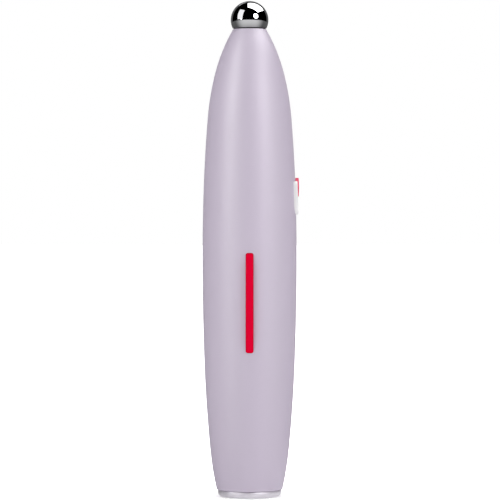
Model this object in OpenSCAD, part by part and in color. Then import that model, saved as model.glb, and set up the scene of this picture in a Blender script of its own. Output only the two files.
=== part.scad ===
// Microcurrent face lift pen that stands on its end cap, with a ball probe at the top.
// Millimetres, +Z up. The origin is the centre of the flat base.
// The push button faces -Y and the badge faces +X. The half shells meet in the plane y = 0.

/* [Body outline] */
// Diameter at the widest point
belly_d = 25; // [24.4:0.1:28]
// Height of the widest point above the base
belly_h = 63.5; // [58:0.5:70]
// Diameter at the shoulder, where the sides start to round in
shoulder_d = 22.2; // [21.4:0.1:23.2]
// Height of the shoulder above the base
shoulder_h = 100.6; // [98:0.2:103]
// Lean of the side at the shoulder, in degrees
shoulder_lean = 4.7; // [4:0.1:6]
// Diameter of the neck rim under the ball
neck_d = 8.8; // [8.6:0.1:9.6]
// Height of the neck rim above the base
neck_h = 124; // [121:0.5:128]
// Lean of the side at the neck rim, in degrees
neck_lean = 30; // [26:1:34]
// Diameter at the heel, where the sides start to draw in to the end cap
heel_d = 20.8; // [20.2:0.1:22]
// Height of the heel above the base
heel_h = 12; // [11:0.5:15]
// Lean of the side at the heel, in degrees
heel_lean = 5.7; // [5:0.1:8]
// Diameter of the body at its lower edge
seam_d = 17.44; // [17.2:0.1:18.4]
// Lean of the side at the lower edge, in degrees
seam_lean = 13; // [10:0.5:16]

/* [Half shells] */
// Wall thickness of the shells
wall = 1.6; // [1.4:0.1:1.9]
// Height of the solid nose below the neck rim
nose_h = 5; // [4.5:0.1:5.5]
// Height of the thick collar round the end cap's spigot
collar_h = 5.1; // [4.8:0.1:5.4]
// Radius of the bosses that hold the alignment pins
pin_boss_r = 1.4; // [1.3:0.05:1.6]
// Radius of the alignment pins
pin_r = 0.7; // [0.5:0.05:0.9]
// Depth of the alignment pins in their sockets
pin_depth = 2.4; // [1.5:0.1:3]
// Height of the low pair of alignment pins
low_pin_h = 9.2; // [9:0.1:10.5]
// Height of the middle pair
mid_pin_h = 70; // [68:0.5:72]
// Height of the top pair
top_pin_h = 106; // [104:0.5:107]

/* [End cap] */
// Height of the metal band that shows under the body
cap_h = 1.75; // [1.6:0.05:2.2]
// Diameter of the end cap
cap_d = 16.8; // [16.4:0.1:17.2]
// Radius of the cap's lower edge
cap_edge_r = 1.1; // [0.8:0.1:1.3]
// Gap that shows between the cap and the body
seam_gap = 0.15; // [0.1:0.05:0.3]
// Thickness of the cap's base
cap_base_t = 1.2; // [1:0.1:1.4]
// Diameter of the cap's spigot
spigot_d = 14; // [13.8:0.1:14.6]
// Wall of the spigot
spigot_wall = 1.1; // [1:0.05:1.2]
// Height of the spigot above the cap's band
spigot_h = 4.75; // [4.6:0.05:4.9]
// Depth of the grooves round the spigot
groove_depth = 0.5; // [0.4:0.05:0.6]
// Height of the shells' capture rib
rib_h = 1; // [0.8:0.1:1.1]
// Thickness of the O-ring
seal_t = 0.62; // [0.55:0.01:0.7]

/* [Ball probe] */
// Diameter of the ball
ball_d = 10; // [9.6:0.1:11]
// Height of the ball's centre above the neck rim
ball_lift = 2.5; // [2.2:0.1:3]
// Thickness of the gasket under the ball
gasket_t = 0.3; // [0.2:0.05:0.5]
// Step from the neck's edge in to the gasket's
gasket_inset = 0.2; // [0.1:0.05:0.4]
// Diameter of the stud
stud_d = 3; // [2.5:0.1:3.2]
// Depth of the stud in the ball
stud_depth = 4; // [3:0.5:4.5]
// Length of the stud past the nut
stud_tail = 1; // [0.5:0.1:1.5]
// Diameter of the insulating bush
bush_d = 5.8; // [5.4:0.1:6]
// Diameter of the bush's flange
bush_flange_d = 9.2; // [8.8:0.1:9.6]
// Thickness of the bush's flange
bush_flange_t = 1.2; // [1:0.1:1.4]
// Thickness of the ring terminal
terminal_t = 0.6; // [0.5:0.1:0.8]
// Outer diameter of the ring terminal
terminal_d = 6.4; // [6:0.1:6.6]
// Distance from the stud to the crimp barrel
barrel_reach = 4.4; // [4.3:0.1:4.6]
// Length of the crimp barrel
barrel_len = 3; // [2.5:0.1:3.5]
// Thickness of the lock washer
washer_t = 0.6; // [0.5:0.1:0.8]
// Outer diameter of the lock washer
washer_d = 5.6; // [5.2:0.1:6]
// Width of the nut across its flats
nut_af = 5.5; // [5:0.1:5.6]
// Height of the nut
nut_h = 2.4; // [2:0.1:2.6]

/* [Side button] */
// Width of the bar
bar_w = 2.05; // [1.8:0.05:3]
// Length of the bar
bar_len = 26.1; // [22:0.1:29]
// Height of the bar's centre above the base
bar_mid_h = 51.7; // [49:0.1:54]
// How far the bar stands out of the body
bar_proud = 1.1; // [0.7:0.1:1.5]
// Length of the slope at each end of the bar
bar_ramp = 3.2; // [2:0.1:5]
// How far the ends of the bar stand out
bar_end_proud = 0.3; // [0.1:0.1:0.6]
// Corner radius of the bar seen from the front
bar_corner_r = 0.5; // [0.2:0.1:0.8]
// Gap between the bar and its slot
slot_gap = 0.12; // [0.08:0.01:0.2]
// Width of the retaining flange
flange_w = 4.6; // [4:0.1:5.4]
// How far the flange reaches past each end of the bar
flange_reach = 1.2; // [0.8:0.1:1.6]
// Thickness of the flange
flange_t = 0.8; // [0.6:0.1:1]
// Length of the post behind the flange
post_len = 0.8; // [0.7:0.1:1.1]
// Diameter of the post and its pad
post_d = 4; // [3:0.1:4.4]
// Thickness of the silicone pad
pad_t = 0.6; // [0.4:0.1:0.8]
// Travel of the button
travel = 0.4; // [0.3:0.05:0.45]
// Gap between the flange and the land it rests on
land_gap = 0.05; // [0.03:0.01:0.1]

/* [Badge] */
// Height of the badge's centre above the base
badge_mid_h = 79.3; // [78.5:0.1:81]
// Height of the badge plate
badge_tall = 8.8; // [8.2:0.1:9.4]
// Width of the badge plate
badge_wide = 7; // [6.4:0.1:7.4]
// Radius of the plate's upper corners
badge_high_r = 0.8; // [0.5:0.1:1.4]
// Radius of the plate's lower corners
badge_low_r = 2.2; // [1.5:0.1:2.8]
// How far the badge plate stands out of the body
badge_proud = 0.55; // [0.45:0.05:0.8]
// Depth of the badge's seat in the body
badge_seat = 0.65; // [0.6:0.05:0.8]
// Gap round the badge in its seat
badge_gap = 0.06; // [0.04:0.01:0.1]
// Radius of the pegs behind the plate and behind the dot
peg_r = 0.7; // [0.5:0.05:0.8]
// Height of the plate's peg above the plate's lower edge
peg_rise = 2; // [1.8:0.1:2.4]
// Diameter of the raised dot
dot_d = 5; // [4.6:0.1:5.4]
// How far the dot stands above the middle of the plate
dot_proud = 0.3; // [0.2:0.05:0.5]
// How far the dot rises over the plate's upper edge
dot_rise = 0.9; // [0.5:0.05:1.2]

/* [Main board] */
// Width of the board
board_w = 13.2; // [12.6:0.1:13.6]
// Thickness of the board
board_t = 1.2; // [1:0.1:1.4]
// Height of the board's lower edge above the base
board_low_h = 2.3; // [2.2:0.1:2.6]
// Width of the tongue that reaches into the end cap
board_tongue_w = 9.8; // [9.4:0.1:10]
// Height at which the tongue widens to the full board
board_step_h = 12.2; // [11.8:0.1:12.8]
// How far the board reaches past the chassis at the top
board_over = 0.9; // [0.5:0.1:1.2]
// Side of the square switch
switch_w = 6; // [5.5:0.1:6.2]
// Height of the switch's body above the board
switch_h = 3.5; // [3:0.1:3.6]
// Diameter of the switch's plunger
plunger_d = 3.5; // [3:0.1:3.6]
// Running gap round the plunger
plunger_gap = 0.05; // [0.04:0.01:0.1]
// Diameter of the probe lead
lead_d = 1; // [0.8:0.05:1.1]

/* [Charging port] */
// Width of the socket's metal shell
usb_w = 8.94; // [8.9:0.01:9]
// Height of the socket's metal shell
usb_h = 3.16; // [3.1:0.01:3.2]
// Length of the socket's metal shell
usb_len = 7.35; // [7:0.05:8]
// Wall of the socket's metal shell
usb_wall = 0.3; // [0.25:0.01:0.35]
// Depth of the socket's mouth behind the base
usb_recess = 0.5; // [0.4:0.1:0.8]
// Width of the contact tongue
tongue_w = 6.7; // [6:0.1:6.8]
// Thickness of the contact tongue
tongue_t = 0.7; // [0.6:0.01:0.8]
// Rim of the plastic bezel round the socket
bezel_rim = 0.85; // [0.7:0.05:0.9]
// Width of the bezel's flange inside the cap
bezel_flange = 0.35; // [0.3:0.05:0.4]
// Thickness of the bezel's flange
bezel_flange_t = 0.6; // [0.5:0.1:0.8]

/* [Battery and chassis] */
// Diameter of the cell
cell_d = 10; // [9:0.1:10.4]
// Length of the cell
cell_len = 44; // [40:0.5:45]
// Height of the cell's lower end above the base
cell_low_h = 22; // [21:0.5:24]
// Space between the board and the cell
cell_space = 0.5; // [0.4:0.1:0.7]
// Height of the chassis's lower edge above the base
chassis_low_h = 13.4; // [13.2:0.1:14]
// Length of the chassis
chassis_len = 85.2; // [84:0.1:86]
// Height of the chassis's two cross bars
crossbar_h = 5.2; // [5:0.1:5.6]
// Thickness of the cross bars
crossbar_t = 3.5; // [3:0.1:3.8]
// Width of the chassis's side rails
rail_w = 1.5; // [1.2:0.1:1.6]
// Thickness of the side rails
rail_t = 2.2; // [1.8:0.1:2.4]
// Thickness of the cell's cradle ribs
cradle_t = 1.4; // [1.2:0.1:2]
// Radius of the shell bosses that carry the chassis
chassis_boss_r = 2.2; // [2:0.1:2.4]
// Thickness of the foam at its middle
foam_t = 0.6; // [0.4:0.1:0.7]
// Width of the foam
foam_w = 4.6; // [4:0.1:5]

/* [Hidden] */

// Clearances, and the small lengths that let cutters pass right through
fit = 0.05;
groove_fit = 0.06;
eps = 0.01;
over = 1;
fine = 96;
round_fn = 48;
chord_error = 0.01;

// Stations of the body outline from the lower edge to the neck rim: radius, height and lean
stations = [
    [seam_d / 2, cap_h, -seam_lean],
    [heel_d / 2, heel_h, -heel_lean],
    [belly_d / 2, belly_h, 0],
    [shoulder_d / 2, shoulder_h, shoulder_lean],
    [neck_d / 2, neck_h, neck_lean]
];

// A side that leans by an angle runs along side_dir and faces the axis along inward
function side_dir(lean) = [-sin(lean), cos(lean)];
function inward(lean) = [-cos(lean), -sin(lean)];

// Signed radius of the arc that leaves p along a side of that lean and passes through q
function arc_radius(p, lean, q) = (q - p) * (q - p) / (2 * inward(lean) * (q - p));

// A value rounded to whole steps, and a radius kept to six figures
function snap(x, step) = round(x / step) * step;
function snap_radius(r) = snap(r, pow(10, floor(log(abs(r))) - 5));

// Centre of the arc of a signed radius that runs up from low to high
function arc_centre(low, high, radius) =
    let (
        half = (high - low) / 2,
        across = [-half[1], half[0]] / norm(half)
    )
    (low + high) / 2 + across * sign(radius) * sqrt(radius * radius - half * half);

// Reach of the two equal tangents of the pair of arcs that joins p to q
function tangent_reach(p, p_dir, q, q_dir) =
    let (
        span = q - p,
        a = 2 * (p_dir * q_dir - 1),
        b = -2 * span * (p_dir + q_dir),
        c = span * span
    )
    abs(a) < 1e-9 ? -c / b : (-b - sqrt(b * b - 4 * a * c)) / (2 * a);

// One arc of the outline: lower end, upper end, centre, signed radius
function arc_between(low, high, from, lean, to) =
    let (radius = snap_radius(arc_radius(from, lean, to)))
    [low, high, arc_centre(low, high, radius), radius];

// The two arcs that run smoothly from one station to the next
function arc_pair(s, t) =
    let (
        p = [s[0], s[1]],
        q = [t[0], t[1]],
        p_dir = side_dir(s[2]),
        q_dir = side_dir(t[2]),
        reach = tangent_reach(p, p_dir, q, q_dir),
        middle = (p + q + reach * (p_dir - q_dir)) / 2
    )
    [arc_between(p, middle, p, s[2], middle), arc_between(middle, q, q, t[2], middle)];

outline = [for (i = [0 : len(stations) - 2]) each arc_pair(stations[i], stations[i + 1])];

// A point of an arc, moved out from the surface by an offset
function offset_point(p, arc, offset) = p + offset * (p - arc[2]) / arc[3];

// Height at which the surface moved out by an offset passes from one arc to the next
function joint_h(p, arc, offset) = snap(offset_point(p, arc, offset)[1], 0.001);

// Radius of an arc at a height, for the surface moved out by an offset
function arc_r(arc, z, offset) =
    arc[2][0] + sign(arc[3]) * sqrt(pow(abs(arc[3]) + sign(arc[3]) * offset, 2) - pow(z - arc[2][1], 2));

// Radius of the body at a height, for the surface moved out by an offset
function body_r(z, offset = 0) =
    let (hits = [
        for (arc = outline)
            if (z <= joint_h(arc[1], arc, offset)) arc_r(arc, z, offset)
    ])
    hits[0];

// Sides that a circle needs to keep its chords within the chord error
function sides_for(radius) = 4 * ceil(45 / acos(1 - chord_error / radius));

// Depth at which a surface of radius r lies at a distance x from the axis
function depth_at(r, x) = sqrt(r * r - x * x);

// The end cap and what it carries
shell_low = cap_h + seam_gap;
collar_top = shell_low + collar_h;
spigot_r = spigot_d / 2;
spigot_bore_r = spigot_r - spigot_wall;
spigot_top = cap_h + spigot_h;
rib_low = shell_low + (spigot_top - shell_low) / 2 - rib_h - 2 * groove_fit;
seal_mid = (rib_low + rib_h + groove_fit + spigot_top) / 2;

// The neck stack, from the rim down
neck_r = neck_d / 2;
nose_low = neck_h - nose_h;
bush_r = bush_d / 2;
stud_r = stud_d / 2;
bush_low = nose_low - bush_flange_t;
terminal_low = bush_low - terminal_t;
washer_low = terminal_low - washer_t;
nut_low = washer_low - nut_h;
stud_low = nut_low - stud_tail;
ball_mid = neck_h + ball_lift;
ball_low = neck_h + gasket_t;
stud_top = ball_low + stud_depth;
barrel_bore_r = lead_d / 2 + fit;
barrel_wall = 0.35;
barrel_r = barrel_bore_r + barrel_wall;
barrel_top = terminal_low + terminal_t / 2;
barrel_low = barrel_top - barrel_len;
barrel_bore_top = barrel_top - terminal_t;

// The board lies behind the charging socket, which is centred in the end cap
board_back = -usb_h / 2;
board_front = board_back - board_t;
chassis_high_h = chassis_low_h + chassis_len;
board_high_h = chassis_high_h + board_over;
low_bar_mid = chassis_low_h + crossbar_h / 2;
high_bar_mid = chassis_high_h - crossbar_h / 2;
bar_back = board_back + crossbar_t;
rail_gap = 0.3;
rail_out = board_w / 2 + rail_gap;
board_screw_inset = 2;
board_screw_x = board_w / 2 - board_screw_inset;
board_screw_r = 0.8;
screw_hole_r = board_screw_r + fit;
board_screw_head_r = 1.3;
board_screw_head_t = 0.8;
board_screw_len = 2.8;
screw_tip_gap = 0.2;
board_screw_hole = board_screw_len - board_t + screw_tip_gap;
chassis_screw_r = 0.95;
chassis_screw_head_r = 1.8;
chassis_screw_head_t = 1.1;
chassis_screw_bite = 3.4;
chassis_screw_hole = chassis_screw_bite + screw_tip_gap;
driver_gap = 0.3;
driver_hole_r = chassis_screw_head_r + driver_gap;

// The button, from its outer face to the switch behind it
bar_low_h = bar_mid_h - bar_len / 2;
bar_high_h = bar_mid_h + bar_len / 2;
flange_len = bar_len + 2 * flange_reach;
flange_low_h = bar_mid_h - flange_len / 2;
land_extra = 1;
land_depth = 0.15;
land_low_h = flange_low_h - land_extra;
land_high_h = flange_low_h + flange_len + land_extra;
land_y = -(depth_at(min(body_r(land_low_h, -wall), body_r(land_high_h, -wall)), flange_w / 2) - land_depth);
flange_front = land_y + land_gap;
flange_back = flange_front + flange_t;
post_back = flange_back + post_len;
pad_back = post_back + pad_t;
switch_front = board_front - switch_h;
plunger_bite = 0.3;
plunger_end_gap = 0.2;
plunger_sunk = travel + plunger_bite;
plunger_bore_r = plunger_d / 2 + plunger_gap;
plunger_bore_depth = plunger_sunk + travel + plunger_end_gap;

// The badge: the plate lies along the side, and the dot's face is upright
badge_r_here = body_r(badge_mid_h);
badge_lean = atan((body_r(badge_mid_h - 1) - body_r(badge_mid_h + 1)) / 2);
badge_edge = 0.3;
badge_high_h = badge_mid_h + badge_tall / 2;
peg_clear = 0.1;
peg_reach = wall - badge_seat - peg_clear;
dot_mid_h = badge_high_h + dot_rise - dot_d / 2;
dot_back = body_r(badge_high_h) + fit;
dot_face = badge_r_here + badge_proud + dot_proud;
dot_edge = 0.2;
dot_peg_inner = body_r(dot_mid_h, -wall) + peg_clear;

// The cell, its cradle and its foam
cell_r = cell_d / 2;
cell_y = board_back + cell_space + cell_r;
cell_high_h = cell_low_h + cell_len;
cradle_clear = 0.12;
cradle_margin = 0.4;
cradle_back = cell_y + cell_r * 0.7;
cradle_inset = 2;
cradle_heights = [
    cell_low_h + cradle_inset,
    cell_low_h + cell_len / 2,
    cell_high_h - cradle_inset - cradle_t
];
foam_margin = 5;
foam_low_h = cell_low_h + foam_margin;
foam_len = cell_len - 2 * foam_margin;
foam_back = cell_y + cell_r + foam_t;
tab_t = 0.2;
tab_w = 3;
tab_leg = 2.6;
tab_over = 1.5;

// Parts on the board: the two chips and the capacitors at the front, the coil at the back
chip_w = 5;
chip_t = 0.9;
chip_drop = 27.3;
chip_mid_h = high_bar_mid - chip_drop;
charge_w = 3;
charge_rise = 5.4;
charge_mid_h = chassis_low_h + crossbar_h + charge_rise;
cap_part_w = 0.8;
cap_part_len = 1.6;
cap_pitch = 2.2;
cap_row_drop = 3;
cap_row_h = chip_mid_h - chip_w / 2 - cap_row_drop;
cap_column_x = 3.6;
coil_w = 6;
coil_t = 3.2;
coil_base_t = 1;
coil_core_r = 1.6;
coil_flange_r = 2.8;
coil_wire_r = 2.5;
coil_flange_t = 0.6;
coil_rise = 11;
coil_mid_h = cell_high_h + coil_rise;

// Colours
lilac = [0.76, 0.715, 0.78];
red = [0.86, 0.02, 0.18];
chassis_grey = [0.35, 0.36, 0.38];
board_green = [0.05, 0.35, 0.2];
steel = [0.72, 0.73, 0.75];
black_resin = [0.09, 0.09, 0.1];

// A circle with enough sides for its radius
module true_circle(radius) {
    circle(r = radius, $fn = sides_for(radius));
}

// A long move in three steps, which keeps the small digits of a far centre
module move_far(v) {
    whole = [snap(v[0], 1), snap(v[1], 1)];
    part = [snap(v[0] - whole[0], 0.01), snap(v[1] - whole[1], 0.01)];
    translate(whole) translate(part) translate(v - whole - part) children();
}

// Rectangle from the axis out to a width, between two heights
module band(width, low, high) {
    polygon([[0, low], [width, low], [width, high], [0, high]]);
}

// The part of a half section that lies inside one arc of the outline
module arc_slice(arc, offset) {
    low = joint_h(arc[0], arc, offset);
    high = joint_h(arc[1], arc, offset);
    if (arc[3] > 0) {
        intersection() {
            band(belly_d, low, high);
            move_far(arc[2]) true_circle(arc[3] + offset);
        }
    } else {
        difference() {
            band(arc[2][0], low, high);
            move_far(arc[2]) true_circle(-arc[3] - offset);
        }
    }
}

// Half section of the body, moved out by an offset, between two heights
module half_section(offset, low, high) {
    intersection() {
        union() {
            for (arc = outline) arc_slice(arc, offset);
        }
        band(belly_d, low, high);
    }
}

// Rectangle with round corners, centred
module soft_rectangle(w, h, r) {
    square([w - 2 * r, h], center = true);
    square([w, h - 2 * r], center = true);
    for (x = [-1, 1], y = [-1, 1]) {
        translate([x * (w / 2 - r), y * (h / 2 - r)]) circle(r = r, $fn = round_fn);
    }
}

// Slot shape with round ends, centred, longer along x
module stadium(w, h) {
    square([w - h, h], center = true);
    for (x = [-1, 1]) translate([x * (w - h) / 2, 0]) circle(d = h, $fn = round_fn);
}

// Cylinder along +Y from a start depth
module y_rod(x, z, r, y, len) {
    translate([x, y, z]) rotate([-90, 0, 0]) cylinder(r = r, h = len, $fn = round_fn);
}

// Outline extruded along +Y, with the outline's y axis along z
module y_plate(y, t) {
    translate([0, y + t, 0]) rotate([90, 0, 0]) linear_extrude(height = t) children();
}

// Outline extruded along +X, with its x axis along y and its y axis along z
module x_plate(x, t) {
    translate([x, 0, 0]) rotate([90, 0, 90]) linear_extrude(height = t) children();
}

// Centres of the alignment pins on one side: distance from the axis and height
pin_boss_sink = 0.4;
pin_spots = [
    for (h = [low_pin_h, mid_pin_h, top_pin_h]) [body_r(h, -wall) - pin_boss_r + pin_boss_sink, h]
];

// Everything solid of one half shell before it is cut, for the half at +Y
module half_shell_blank() {
    rotate_extrude(angle = 180, $fn = fine) {
        difference() {
            half_section(0, shell_low, neck_h);
            half_section(-wall, collar_top, nose_low);
            translate([0, nose_low - over]) square([bush_r + fit, nose_h + 2 * over]);
            difference() {
                translate([0, shell_low - over]) square([spigot_r + fit, collar_h + 2 * over]);
                translate([spigot_r - groove_depth + groove_fit, rib_low]) square([groove_depth, rib_h]);
            }
        }
    }
    for (spot = pin_spots, side = [-1, 1]) {
        y_rod(side * spot[0], spot[1], pin_boss_r, 0, pin_depth + over);
    }
}

// Frame of the badge plate: x runs out of the body, and the surface lies at x = 0
module at_badge() {
    translate([badge_r_here, 0, badge_mid_h]) rotate([0, -badge_lean, 0]) children();
}

// Outline of the badge plate, with its height along y
module badge_outline(grow) {
    w = badge_wide + 2 * grow;
    h = badge_tall + 2 * grow;
    high_r = badge_high_r + grow;
    low_r = badge_low_r + grow;
    translate([-w / 2, -h / 2 + low_r]) square([w, h - low_r - high_r]);
    translate([-w / 2 + high_r, 0]) square([w - 2 * high_r, h / 2]);
    translate([-w / 2 + low_r, -h / 2]) square([w - 2 * low_r, h / 2]);
    for (x = [-1, 1]) {
        translate([x * (w / 2 - high_r), h / 2 - high_r]) circle(r = high_r, $fn = round_fn);
        translate([x * (w / 2 - low_r), -h / 2 + low_r]) circle(r = low_r, $fn = round_fn);
    }
}

// Cylinder along +X from a start distance
module x_rod(x, z, r, len) {
    translate([x, 0, z]) rotate([0, 90, 0]) cylinder(r = r, h = len, $fn = fine);
}

// Seat and peg holes of the badge in the shells
module badge_cutter() {
    at_badge() {
        x_plate(-badge_seat, belly_d) badge_outline(badge_gap);
        x_rod(-2 * wall, peg_rise - badge_tall / 2, peg_r + fit, 2 * wall);
    }
    x_rod(badge_r_here - 2 * wall, dot_mid_h, peg_r + fit, 2 * wall);
}

module button_side_shell() {
    color(lilac) {
        difference() {
            union() {
                rotate([0, 0, 180]) half_shell_blank();
                intersection() {
                    translate([-flange_w / 2 - land_extra, -belly_d / 2, land_low_h]) {
                        cube([flange_w + 2 * land_extra, land_y + belly_d / 2, land_high_h - land_low_h]);
                    }
                    rotate([0, 0, 180]) rotate_extrude(angle = 180, $fn = fine) {
                        half_section(-wall / 2, land_low_h - over, land_high_h + over);
                    }
                }
            }
            translate([0, 0, bar_mid_h]) {
                y_plate(-belly_d, belly_d - 1) {
                    soft_rectangle(bar_w + 2 * slot_gap, bar_len + 2 * slot_gap, bar_corner_r + slot_gap);
                }
            }
            for (spot = pin_spots, side = [-1, 1]) {
                y_rod(side * spot[0], spot[1], pin_r + fit, -pin_depth - fit, pin_depth + over);
            }
            badge_cutter();
        }
    }
}

module plain_side_shell() {
    color(lilac) {
        difference() {
            union() {
                half_shell_blank();
                for (h = [low_bar_mid, high_bar_mid]) {
                    y_rod(0, h, chassis_boss_r, bar_back, body_r(h, -wall / 2) - bar_back);
                }
            }
            for (h = [low_bar_mid, high_bar_mid]) {
                y_rod(0, h, chassis_screw_r + fit, bar_back - over, chassis_screw_hole + over);
            }
            badge_cutter();
        }
        for (spot = pin_spots, side = [-1, 1]) {
            y_rod(side * spot[0], spot[1], pin_r, -pin_depth, pin_depth + eps);
        }
    }
}

module end_cap() {
    color(steel) {
        difference() {
            rotate_extrude($fn = fine) {
                difference() {
                    union() {
                        square([cap_d / 2 - cap_edge_r, cap_h]);
                        translate([0, cap_edge_r]) square([cap_d / 2, cap_h - cap_edge_r]);
                        intersection() {
                            translate([cap_d / 2 - cap_edge_r, cap_edge_r]) {
                                circle(r = cap_edge_r, $fn = round_fn);
                            }
                            square([cap_d, cap_edge_r]);
                        }
                        square([spigot_r, spigot_top]);
                    }
                    translate([0, cap_base_t]) square([spigot_bore_r, spigot_top]);
                    translate([spigot_r - groove_depth, rib_low - groove_fit]) {
                        square([groove_depth + over, rib_h + 2 * groove_fit]);
                    }
                    translate([spigot_r + fit - seal_t, seal_mid - seal_t / 2 - groove_fit / 2]) {
                        square([seal_t + over, seal_t + groove_fit]);
                    }
                }
            }
            translate([0, 0, -over]) linear_extrude(height = cap_base_t + 2 * over) {
                stadium(usb_w + 2 * bezel_rim, usb_h + 2 * bezel_rim);
            }
        }
    }
}

module cap_seal() {
    color(black_resin) rotate_extrude($fn = fine) {
        translate([spigot_r + fit - seal_t / 2, seal_mid]) circle(d = seal_t - 2 * eps, $fn = round_fn);
    }
}

module port_bezel() {
    color(black_resin) difference() {
        union() {
            linear_extrude(height = cap_base_t + eps) {
                stadium(usb_w + 2 * bezel_rim - 2 * fit, usb_h + 2 * bezel_rim - 2 * fit);
            }
            translate([0, 0, cap_base_t]) linear_extrude(height = bezel_flange_t) {
                stadium(usb_w + 2 * (bezel_rim + bezel_flange), usb_h + 2 * (bezel_rim + bezel_flange));
            }
        }
        translate([0, 0, -over]) linear_extrude(height = cap_base_t + bezel_flange_t + 2 * over) {
            stadium(usb_w + 2 * fit, usb_h + 2 * fit);
        }
    }
}

// Side view of the bar: x is depth out from the axis, y is height
module bar_profile(back) {
    polygon([
        [back, bar_low_h],
        [body_r(bar_low_h) + bar_end_proud, bar_low_h],
        [body_r(bar_low_h + bar_ramp) + bar_proud, bar_low_h + bar_ramp],
        [body_r(bar_mid_h) + bar_proud, bar_mid_h],
        [body_r(bar_high_h - bar_ramp) + bar_proud, bar_high_h - bar_ramp],
        [body_r(bar_high_h) + bar_end_proud, bar_high_h],
        [back, bar_high_h]
    ]);
}

module side_button() {
    color(red) {
        intersection() {
            rotate([0, 0, -90]) translate([0, bar_w / 2, 0]) rotate([90, 0, 0]) {
                linear_extrude(height = bar_w) bar_profile(-flange_back);
            }
            translate([0, 0, bar_mid_h]) {
                y_plate(-belly_d, belly_d) soft_rectangle(bar_w, bar_len, bar_corner_r);
            }
        }
        translate([0, 0, bar_mid_h]) {
            y_plate(flange_front, flange_t) soft_rectangle(flange_w, flange_len, bar_corner_r);
        }
        y_rod(0, bar_mid_h, post_d / 2, flange_back - eps, post_len + eps);
    }
}

module button_pad() {
    color([0.85, 0.85, 0.84]) y_rod(0, bar_mid_h, post_d / 2, post_back, pad_t);
}

module switch_plunger() {
    color(black_resin) y_rod(0, bar_mid_h, plunger_d / 2, pad_back, switch_front + plunger_sunk - pad_back);
}

module switch_body() {
    color(steel) difference() {
        translate([0, 0, bar_mid_h]) y_plate(switch_front, switch_h) square(switch_w, center = true);
        y_rod(0, bar_mid_h, plunger_bore_r, switch_front - over, plunger_bore_depth + over);
    }
}

module badge_plate() {
    color([0.95, 0.95, 0.95]) difference() {
        at_badge() {
            x_plate(-badge_seat, badge_seat + badge_proud - badge_edge) badge_outline(0);
            x_plate(badge_proud - badge_edge, badge_edge) badge_outline(-badge_edge / 2);
            x_rod(-badge_seat - peg_reach, peg_rise - badge_tall / 2, peg_r, peg_reach + eps);
        }
        x_rod(dot_back, dot_mid_h, dot_d / 2 + badge_gap, belly_d);
        x_rod(dot_back - 2 * wall, dot_mid_h, peg_r + fit, 2 * wall + eps);
    }
}

module badge_dot() {
    color([0.96, 0.3, 0.42]) {
        x_rod(dot_back, dot_mid_h, dot_d / 2, dot_face - dot_edge - dot_back);
        x_rod(dot_back, dot_mid_h, dot_d / 2 - dot_edge, dot_face - dot_back);
        x_rod(dot_peg_inner, dot_mid_h, peg_r, dot_back - dot_peg_inner + eps);
    }
}

module probe_ball() {
    color([0.8, 0.8, 0.82]) rotate_extrude($fn = fine) {
        difference() {
            translate([0, ball_mid]) circle(d = ball_d, $fn = fine);
            translate([-ball_d, ball_mid - ball_d]) square([ball_d, 2 * ball_d]);
            translate([-over, ball_low - ball_d]) square([ball_d, ball_d]);
            translate([-over, ball_low - over]) square([over + stud_r + fit, stud_depth + over]);
        }
    }
}

// Ring round the axis from an inner to an outer radius
module ring(inner, outer, low, h) {
    translate([0, 0, low]) difference() {
        cylinder(r = outer, h = h, $fn = fine);
        translate([0, 0, -over]) cylinder(r = inner, h = h + 2 * over, $fn = fine);
    }
}

module probe_gasket() {
    color(black_resin) ring(stud_r + fit, neck_r - gasket_inset, neck_h, gasket_t);
}

module probe_stud() {
    color(steel) translate([0, 0, stud_low]) cylinder(r = stud_r, h = stud_top - stud_low, $fn = fine);
}

module neck_bush() {
    color([0.93, 0.92, 0.88]) {
        difference() {
            union() {
                translate([0, 0, bush_low]) cylinder(r = bush_r, h = neck_h - bush_low, $fn = fine);
                translate([0, 0, bush_low]) cylinder(d = bush_flange_d, h = bush_flange_t, $fn = fine);
            }
            translate([0, 0, bush_low - over]) {
                cylinder(r = stud_r + fit, h = neck_h - bush_low + 2 * over, $fn = fine);
            }
        }
    }
}

module ring_terminal() {
    color([0.8, 0.66, 0.35]) difference() {
        union() {
            translate([0, 0, terminal_low]) cylinder(d = terminal_d, h = terminal_t, $fn = fine);
            translate([0, -barrel_r, terminal_low]) cube([barrel_reach, 2 * barrel_r, terminal_t]);
            translate([barrel_reach, 0, barrel_low]) {
                cylinder(r = barrel_r, h = terminal_low + terminal_t - barrel_low, $fn = round_fn);
            }
        }
        translate([0, 0, terminal_low - over]) {
            cylinder(r = stud_r + fit, h = terminal_t + 2 * over, $fn = fine);
        }
        translate([barrel_reach, 0, barrel_low - over]) {
            cylinder(r = barrel_bore_r, h = barrel_bore_top - barrel_low + over, $fn = round_fn);
        }
    }
}

module lock_washer() {
    color(steel) ring(stud_r + fit, washer_d / 2, washer_low, washer_t);
}

module stud_nut() {
    color(steel) translate([0, 0, nut_low]) difference() {
        cylinder(d = nut_af / cos(30), h = nut_h, $fn = 6);
        translate([0, 0, -over]) cylinder(r = stud_r + fit, h = nut_h + 2 * over, $fn = fine);
    }
}

// The lead leaves the board, rises past the top pins and turns up into the crimp barrel
lead_r = lead_d / 2;
lead_inset = 0.6;
lead_overlap = 4;
lead_end_gap = 0.3;
lead_x = board_screw_x - lead_inset;
lead_start_h = high_bar_mid - lead_overlap;
lead_end_h = barrel_bore_top - lead_end_gap;
lead_front = board_front - lead_r;
lead_steps = 24;
lead_sides = 8;
lead_straight = 2;
lead_knots = [
    [lead_x, lead_front, lead_start_h],
    [lead_x, lead_front, board_high_h + lead_straight],
    [barrel_reach, 0, barrel_low - 2 * lead_straight],
    [barrel_reach, 0, lead_end_h]
];

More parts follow.
